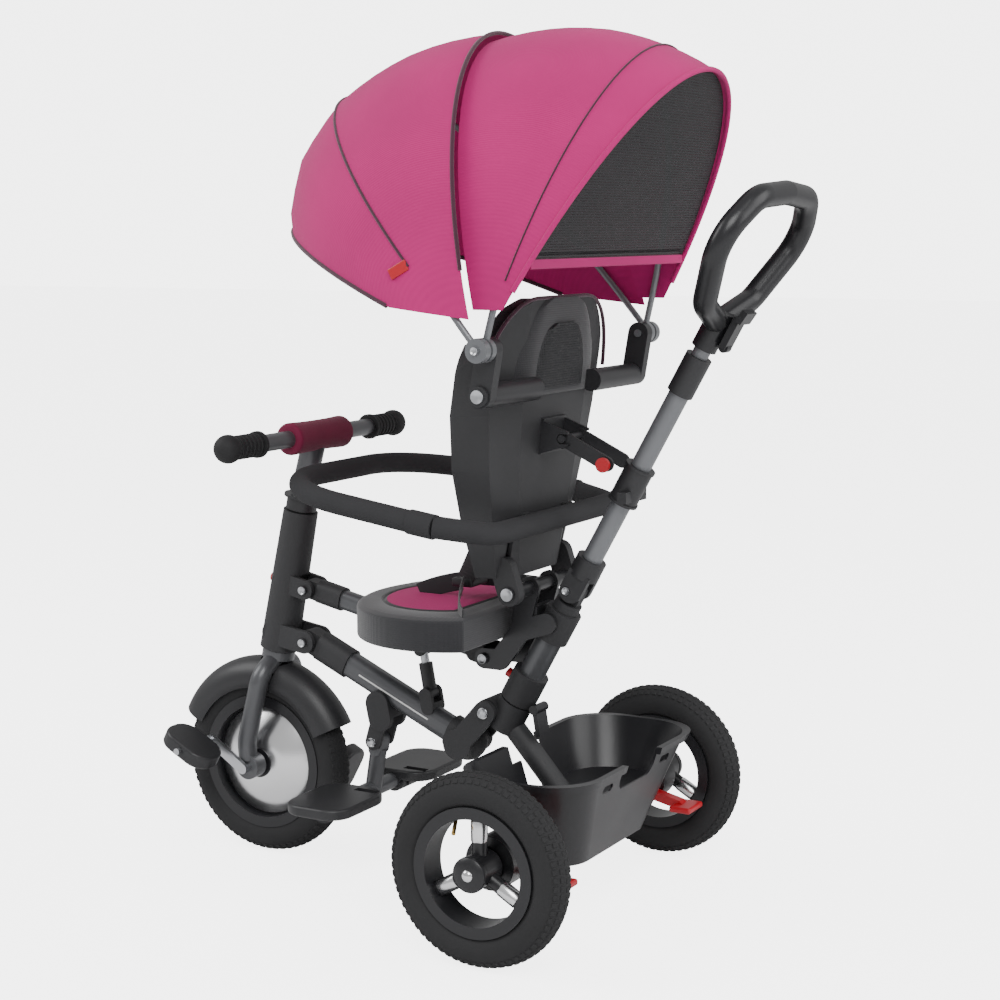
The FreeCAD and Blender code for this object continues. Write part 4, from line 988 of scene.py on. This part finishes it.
@dataclass
class Wheels(Assembly):
    """Treads, hub caps, spoke sleeves and the front disc."""

    rows: int = 70
    front: Vector = field(default_factory=lambda: at(471, 0, 125))

    def tread(self, name: str, centre: Vector, radius: float) -> bpy.types.Object:
        """Blocks round a tyre, one row modelled and repeated.

        Args:
            name: The object's name.
            centre: The wheel's centre.
            radius: The tyre's radius in metres.

        Returns:
            The tread.
        """
        parts = []
        for index, (y, drop) in enumerate(((0.0, 0.0), (8.6, 1.9), (-8.6, 1.9), (15.6, 6.6), (-15.6, 6.6))):
            place = centre + Vector((0.0028 * (index % 2), y / 1000, radius - drop / 1000 - 0.0006))
            block = Bench.begin(
                f"{name}_block", "cube", size=1, location=place,
                rotation=(-math.asin(y / 22.5) * 0.9, 0, 0), scale=(0.0062, 0.0066, 0.0028),
            )
            Bench.modify(block, "BEVEL", width=0.0006, segments=1)
            parts.append(block)
        Bench.clear()
        for block in parts:
            block.select_set(True)
        bpy.context.view_layer.objects.active = parts[0]
        bpy.ops.object.join()
        made = bpy.context.object
        made.name = name
        bpy.ops.object.select_all(action="DESELECT")
        bpy.ops.object.empty_add(location=(0, 0, 0))
        guide = bpy.context.object
        step = Quaternion((0, 1, 0), 2 * math.pi / self.rows)
        guide.rotation_mode = "QUATERNION"
        guide.rotation_quaternion = step
        guide.location = centre - step @ centre
        bpy.context.view_layer.update()
        Bench.modify(
            made, "ARRAY", count=self.rows, use_relative_offset=False,
            use_object_offset=True, offset_object=guide,
        )
        bpy.data.objects.remove(guide)
        return made

    def rear(self, side: int, body: str) -> None:
        """Dress one rear wheel.

        Args:
            side: 1 is left and -1 is right.
            body: The CAD body.
        """
        centre = at(0, 246 * side, 114)
        self.finish(self.tread(f"{body}_tread", centre, 0.114), Look.TYRE, body, "tyre_rubber")
        for turn in range(3):
            angle = math.radians(90 + 120 * turn)
            out = Vector((math.cos(angle), 0, math.sin(angle)))
            sleeve = Bench.begin(
                f"{body}_spoke_{turn}", "cylinder", vertices=24, radius=0.0098, depth=0.026,
                location=centre + out * 0.046, rotation=(0, math.pi / 2 - angle, 0),
            )
            Bench.modify(sleeve, "BEVEL", width=0.0015, segments=2, limit_method="ANGLE")
            Bench.smooth(sleeve)
            self.finish(sleeve, Look.SILVER, body, "bright_steel")
        cap = Bench.begin(
            f"{body}_cap", "cylinder", vertices=40, radius=0.021, depth=0.008,
            location=centre + Vector((0, 0.0215 * side, 0)), rotation=(math.radians(90), 0, 0),
        )
        Bench.edit(cap)
        Bench.pick(cap, "FACE", lambda p: abs(p.y) > abs(centre.y) + 0.0254)
        bpy.ops.mesh.inset(thickness=0.007)
        bpy.ops.transform.translate(value=(0, 0.0035 * side, 0))
        bpy.ops.object.mode_set(mode="OBJECT")
        Bench.modify(cap, "BEVEL", width=0.0012, segments=2, limit_method="ANGLE")
        Bench.smooth(cap)
        self.finish(cap, Look.GLOSS, body, "wheel_plastic")
        nut = Bench.begin(
            f"{body}_nut", "uv_sphere", segments=20, ring_count=10, radius=0.0075,
            location=centre + Vector((0, 0.0275 * side, 0)),
        )
        Bench.edit(nut)
        bpy.ops.transform.resize(value=(1, 0.7, 1), center_override=centre + Vector((0, 0.0275 * side, 0)))
        bpy.ops.object.mode_set(mode="OBJECT")
        Bench.smooth(nut, 60)
        self.finish(nut, Look.CHROME, body, "chrome_bolt")
        path = [centre + Vector((0.028, 0.004 * side, 0.058)), centre + Vector((0.026, 0.010 * side, 0.052))]
        path.append(centre + Vector((0.022, 0.021 * side, 0.044)))
        self.finish(Bench.strand(f"{body}_valve", path, 0.0024), Look.BRASS, body, "bright_steel")

    def build(self) -> None:
        """Dress the three wheels."""
        self.rear(1, "left_wheel")
        self.rear(-1, "right_wheel")
        self.finish(self.tread("front_tread", self.front, 0.125), Look.TYRE, "front_wheel", "tyre_rubber")
        for side in (1, -1):
            disc = Bench.begin(
                f"front_disc_{side}", "cone", vertices=72, radius1=0.0745, radius2=0.041, depth=0.0158,
                location=self.front + Vector((0, 0.0133 * side, 0)),
                rotation=(math.radians(-90 * side), 0, 0),
            )
            Bench.edit(disc)
            Bench.pick(disc, "FACE", lambda p: abs(p.y) > 0.0205)
            bpy.ops.mesh.inset(thickness=0.012)
            bpy.ops.transform.translate(value=(0, 0.003 * side, 0))
            bpy.ops.object.mode_set(mode="OBJECT")
            Bench.modify(disc, "BEVEL", width=0.001, segments=2, limit_method="ANGLE")
            Bench.smooth(disc)
            self.finish(disc, Look.SILVER, "front_wheel", "bright_steel")


@dataclass
class Cockpit(Assembly):
    """Handlebar pad and grip rings."""

    bar: Vector = field(default_factory=lambda: at(387, 0, 571))

    def build(self) -> None:
        """Model the pad and rings."""
        pad = Bench.begin(
            "handlebar_pad", "cylinder", vertices=48, radius=0.0215, depth=0.122,
            location=self.bar, rotation=(math.radians(90), 0, 0),
        )
        Bench.edit(pad)
        for y in (-0.03, 0.0, 0.03):
            bpy.ops.mesh.select_all(action="SELECT")
            bpy.ops.mesh.bisect(plane_co=(0, y, 0), plane_no=(0, 1, 0))
        for y in (-0.03, 0.0, 0.03):
            Bench.pick(pad, "VERT", lambda p, w=y: abs(p.y - w) < 0.0005)
            bpy.ops.transform.resize(value=(0.93, 1, 0.93), center_override=self.bar)
        bpy.ops.object.mode_set(mode="OBJECT")
        Bench.modify(pad, "BEVEL", width=0.005, segments=4, limit_method="ANGLE")
        Bench.modify(pad, "SUBSURF", levels=1, render_levels=1)
        Bench.smooth(pad, 60)
        self.finish(pad, Look.WINE, "steering", "magenta_fabric", ["bar_pad"])
        for side in (1, -1):
            for step in range(6):
                place = self.bar + Vector((0, side * (0.136 + 0.008 * step), 0))
                ring = Bench.begin(
                    f"grip_ring_{side}_{step}", "torus", major_radius=0.0141, minor_radius=0.0013,
                    major_segments=32, minor_segments=8, location=place, rotation=(math.radians(90), 0, 0),
                )
                Bench.smooth(ring, 60)
                self.finish(ring, Look.GRIP, "steering", "grip_rubber")


@dataclass
class Hardware(Assembly):
    """Bolt heads, pinstripe and small marks."""

    def bolt(self, name: str, place: Vector, side: int, radius: float, body: str) -> None:
        """A domed hex-socket bolt head.

        Args:
            name: The object's name.
            place: Its seat.
            side: 1 faces left and -1 faces right.
            radius: Its radius in metres.
            body: The CAD body.
        """
        made = Bench.begin(
            name, "cylinder", vertices=24, radius=radius, depth=0.003,
            location=place + Vector((0, 0.0015 * side, 0)), rotation=(math.radians(90), 0, 0),
        )
        Bench.edit(made)
        Bench.pick(made, "FACE", lambda p: (p.y - place.y) * side > 0.0028)
        bpy.ops.mesh.inset(thickness=radius * 0.45)
        bpy.ops.transform.translate(value=(0, -0.0018 * side, 0))
        bpy.ops.object.mode_set(mode="OBJECT")
        Bench.modify(made, "BEVEL", width=0.0006, segments=2, limit_method="ANGLE")
        Bench.smooth(made)
        self.finish(made, Look.STEEL, body, "chrome_bolt")

    def build(self) -> None:
        """Place the small hardware."""
        seats = (
            ("fold", at(118, 32.5, 236), 0.0062, "lower_frame"),
            ("link", at(118, 31.2, 306), 0.0062, "rear_frame"),
            ("head_low", at(396, 25.6, 297), 0.0055, "head"),
            ("head_high", at(396, 23.1, 367), 0.0055, "head"),
            ("footrest", at(292, 20.6, 174), 0.0055, "lower_frame"),
            ("seat_hinge", at(54, 82.2, 401), 0.0080, "rear_frame"),
            ("canopy_low", at(21, 209.4, 651), 0.0080, "seat_rest"),
            ("canopy_high", at(12, 231.4, 704), 0.0046, "canopy_back"),
            ("axle_front", at(471, 59.2, 125), 0.0060, "front_wheel"),
            ("push_fold", at(8.3, 16.2, 399), 0.0050, "push_bar"),
        )
        for name, place, radius, body in seats:
            for side in (1, -1):
                spot = Vector((place.x, place.y * side, place.z))
                self.bolt(f"bolt_{name}_{side}", spot, side, radius, body)
        for side in (1, -1):
            stripe = Bench.begin(
                f"pinstripe_{side}", "cube", size=1, location=at(262, 14.2 * side, 237),
                rotation=(0, math.radians(-24.2), 0), scale=(0.115, 0.0006, 0.0022),
            )
            Bench.modify(stripe, "BEVEL", width=0.0002, segments=1)
            self.finish(stripe, Look.WHITE, "lower_frame", "grey_steel")


NODE_LOOKS: dict[Look, tuple[str, ...]] = {
    Look.MATTE: (
        "rear_casting", "column_collars", "main_tube_fittings", "upper_tube_ends",
        "head_casting", "seat_shell",
    ),
    Look.SATIN: (
        "recline_bracket", "recline_clamp", "recline_arm", "push_fittings", "strut_sleeve", "canopy_links",
        "canopy_bosses", "footplate_left", "footplate_right", "mudguard", "stem_collar",
        "pedal_left", "pedal_right",
    ),
    Look.GLOSS: (
        "basket", "handle_loop", "latch_lever", "quick_lever", "seat_pan",
        "front_rim", "rear_left_rim", "rear_right_rim",
    ),
    Look.CHARCOAL: (
        "main_tube", "upper_tube", "column_tube", "fork", "stem_tube", "handlebar", "footrest_tube",
    ),
    Look.GREY: ("push_tube", "handle_tube", "rear_bow", "front_bow"),
    Look.BLACK_PAINT: ("axle_beam", "seat_bracket"),
    Look.RED: ("head_button", "recline_button", "fold_button", "brake_pedal_left", "brake_pedal_right"),
    Look.TYRE: ("front_tyre", "rear_left_tyre", "rear_right_tyre"),
    Look.GRIP: ("grips",),
    Look.FOAM: ("ring_rear", "ring_gate"),
    Look.STEEL: ("crank_set", "strut_rod"),
    Look.CHROME: ("frame_bolts",),
}


def dress_nodes() -> None:
    """Give every visible CAD node its own procedural material."""
    for look, names in NODE_LOOKS.items():
        for name in names:
            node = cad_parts[name]
            node.data.materials.clear()
            node.data.materials.append(Palette.get(look))
            LOG.info("node %s: %s", name, look.name)


@dataclass(frozen=True)
class Studio:
    """Floor, lights and camera."""

    eye: Point = (-1103.35, 2159.88, 842.0)
    yaw: float = -1.059
    pitch: float = 0.136
    roll: float = -0.003
    lens: float = 72.12

    def lamp(self, name: str, place: Point, size: float, power: float) -> None:
        """A square soft light aimed at the seat.

        Args:
            name: The light's name.
            place: Where it stands, in metres.
            size: Its side in metres.
            power: In watts.
        """
        bpy.ops.object.light_add(type="AREA", location=place)
        made = bpy.context.object
        made.name = name
        made.data.size = size
        made.data.energy = power
        aim = Vector((0, 0, 0.5)) - Vector(place)
        made.rotation_mode = "QUATERNION"
        made.rotation_quaternion = aim.to_track_quat("-Z", "Y")

    def build(self) -> None:
        """Set the studio up."""
        Bench.clear()
        floor = Bench.begin("floor", "plane", size=40, location=(0, 0, -0.0012))
        floor.data.materials.append(Palette.get(Look.FLOOR))
        world = bpy.data.worlds.new("studio")
        bpy.context.scene.world = world
        world.use_nodes = True
        background = world.node_tree.nodes["Background"]
        background.inputs["Color"].default_value = (1, 1, 1, 1)
        background.inputs["Strength"].default_value = 0.58
        backdrop = world.node_tree.nodes.new("ShaderNodeBackground")
        backdrop.inputs["Strength"].default_value = 6.0
        rays = world.node_tree.nodes.new("ShaderNodeLightPath")
        choose = world.node_tree.nodes.new("ShaderNodeMixShader")
        links = world.node_tree.links
        links.new(rays.outputs["Is Camera Ray"], choose.inputs[0])
        links.new(background.outputs[0], choose.inputs[1])
        links.new(backdrop.outputs[0], choose.inputs[2])
        links.new(choose.outputs[0], world.node_tree.nodes["World Output"].inputs["Surface"])
        self.lamp("key", (-1.6, 2.6, 3.0), 2.2, 95)
        self.lamp("fill", (-3.0, -0.6, 1.9), 2.5, 55)
        self.lamp("rim", (2.4, 1.2, 2.4), 1.8, 50)
        bpy.ops.object.camera_add(location=at(*self.eye))
        camera = bpy.context.object
        camera.data.lens = self.lens
        camera.data.sensor_width = 36
        flat = math.cos(self.pitch)
        forward = Vector((flat * math.cos(self.yaw), flat * math.sin(self.yaw), -math.sin(self.pitch)))
        camera.rotation_mode = "QUATERNION"
        camera.rotation_quaternion = forward.to_track_quat("-Z", "Y") @ Quaternion((0, 0, 1), self.roll)
        bpy.context.scene.camera = camera


def main() -> None:
    """Build every piece and log how many each group made."""
    logging.basicConfig(level=logging.INFO)
    dress_nodes()
    for group in (Canopy(), Seat(), Wheels(), Cockpit(), Hardware()):
        group.build()
        LOG.info("%s: %d pieces", type(group).__name__, len(group.made))
    Studio().build()
    Bench.clear()


if __name__ == "__main__":
    main()
